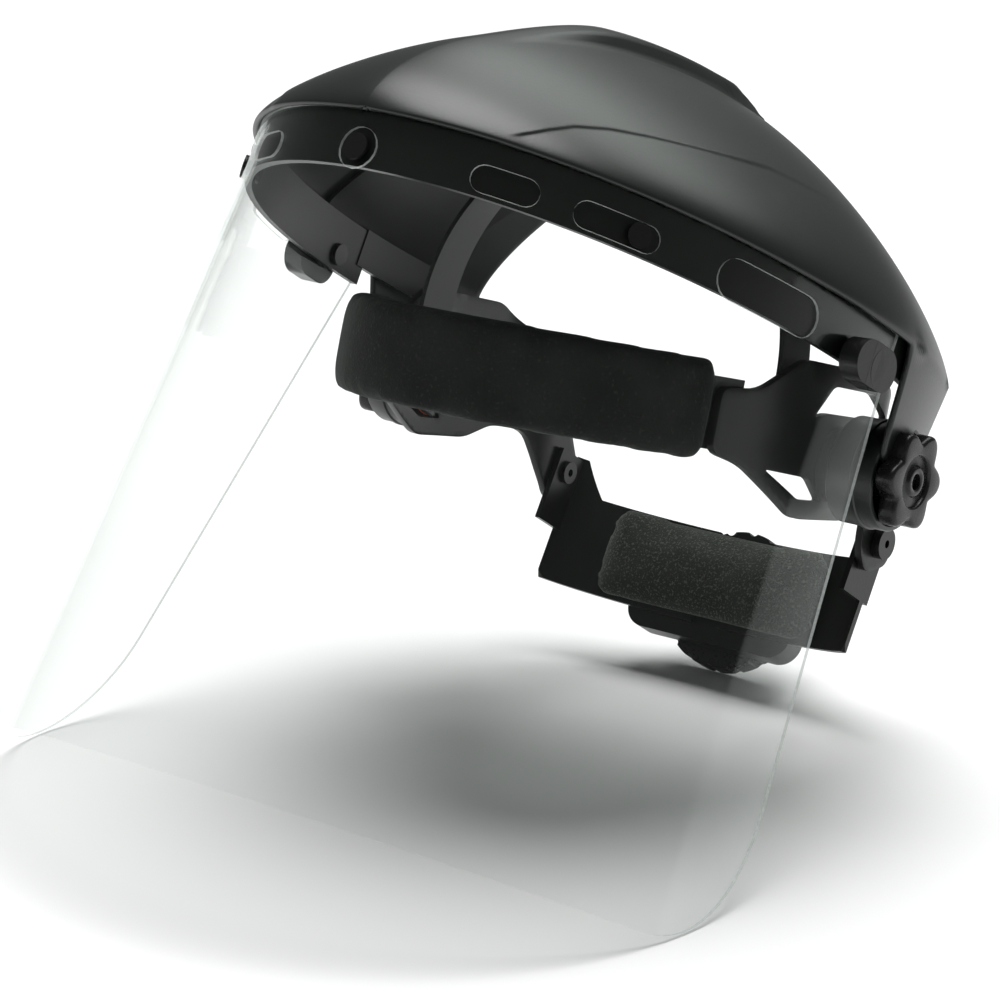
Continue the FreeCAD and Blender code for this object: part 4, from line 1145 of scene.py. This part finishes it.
@dataclass(frozen=True)
class Studio:
    """Wide pale floor, a very soft light overhead, a softbox behind and the camera."""

    azimuth: float = 35.91
    elevation: float = 15.07
    distance: float = 1.1707
    roll: float = 2.48
    target: Tuple[float, float, float] = (-0.0381, 0.056, 0.0728)
    lens: float = 123.97

    def backdrop(self) -> None:
        """Wide flat floor just under the lowest point."""
        reach, drop = 9.0, 0.0003
        corners = np.array([(-reach, -reach, -drop), (reach, -reach, -drop), (reach, reach, -drop),
                            (-reach, reach, -drop)])
        floor = make_piece("studio_floor", corners, np.array([(0, 1, 2, 3)]), outward=False)
        g = Graph("studio_floor")
        shader = g.principled({"Base Color": (0.9, 0.9, 0.9, 1.0), "Roughness": 0.9,
                               "Specular IOR Level": 0.1})
        floor.data.materials.append(g.finish(shader))

    def sun(self, direction: Tuple[float, float, float], spread: float, strength: float) -> None:
        """Very wide distant lamp, which lights the whole floor evenly and leaves soft shadows."""
        lamp = bpy.data.lights.new("sky_light", "SUN")
        lamp.angle = math.radians(spread)
        lamp.energy = strength
        held = bpy.data.objects.new("sky_light", lamp)
        held.rotation_euler = Vector(direction).to_track_quat("Z", "Y").to_euler()
        bpy.context.scene.collection.objects.link(held)

    def light(self, name: str, place: Tuple[float, float, float], aim: Tuple[float, float, float],
              size: Tuple[float, float], power: float) -> None:
        """One soft rectangular lamp."""
        lamp = bpy.data.lights.new(name, "AREA")
        lamp.shape = "RECTANGLE"
        lamp.size, lamp.size_y = size
        lamp.energy = power
        lamp.color = (0.94, 1.0, 0.955)
        held = bpy.data.objects.new(name, lamp)
        held.location = place
        held.rotation_euler = (Vector(aim) - Vector(place)).to_track_quat("-Z", "Y").to_euler()
        bpy.context.scene.collection.objects.link(held)

    def world(self) -> None:
        """Dim, faintly green surround that fills the shadows and shows a little in the gloss."""
        world = bpy.data.worlds.new("studio_world")
        world.use_nodes = True
        world.node_tree.nodes["Background"].inputs[0].default_value = (0.97, 1.0, 0.985, 1.0)
        world.node_tree.nodes["Background"].inputs[1].default_value = 0.16
        bpy.context.scene.world = world

    def camera(self) -> None:
        """Camera on a long lens at the viewing angle."""
        a, e, r = (math.radians(value) for value in (self.azimuth, self.elevation, self.roll))
        back = Vector((math.sin(a) * math.cos(e), -math.cos(a) * math.cos(e), math.sin(e)))
        right = Vector((math.cos(a), math.sin(a), 0.0))
        up = back.cross(right)
        turned = Matrix((right * math.cos(r) + up * math.sin(r), up * math.cos(r) - right * math.sin(r),
                         back))
        data = bpy.data.cameras.new("camera")
        data.lens = self.lens
        data.clip_end = 30.0
        held = bpy.data.objects.new("camera", data)
        place = Vector(self.target) + back * self.distance
        held.matrix_world = Matrix.Translation(place) @ turned.transposed().to_4x4()
        bpy.context.scene.collection.objects.link(held)
        bpy.context.scene.camera = held

    def build(self) -> None:
        """Sets the whole studio up."""
        bpy.context.scene.view_settings.view_transform = "Standard"
        self.backdrop()
        self.world()
        self.sun((-0.12, 0.16, 1.0), 46.0, 3.3)
        self.light("back_softbox", (-0.15, 1.05, 1.12), (0.0, 0.0, 0.15), (1.1, 0.55), 4.6)
        self.camera()


def main() -> None:
    """Builds every sub-assembly and the studio."""
    logging.basicConfig(level=logging.INFO, format="%(message)s")
    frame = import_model()
    frames = Frames.from_joints(frame["joints"])
    for part in (Crown(frames), Window(frames), TensionKnobs(frames), Headgear(frames), Nape(frames)):
        for piece in part.build():
            LOG.info("built %s with %d faces", piece.name, len(piece.data.polygons))
    dress_nodes(frame["nodes"])
    Studio().build()


if __name__ == "__main__":
    main()
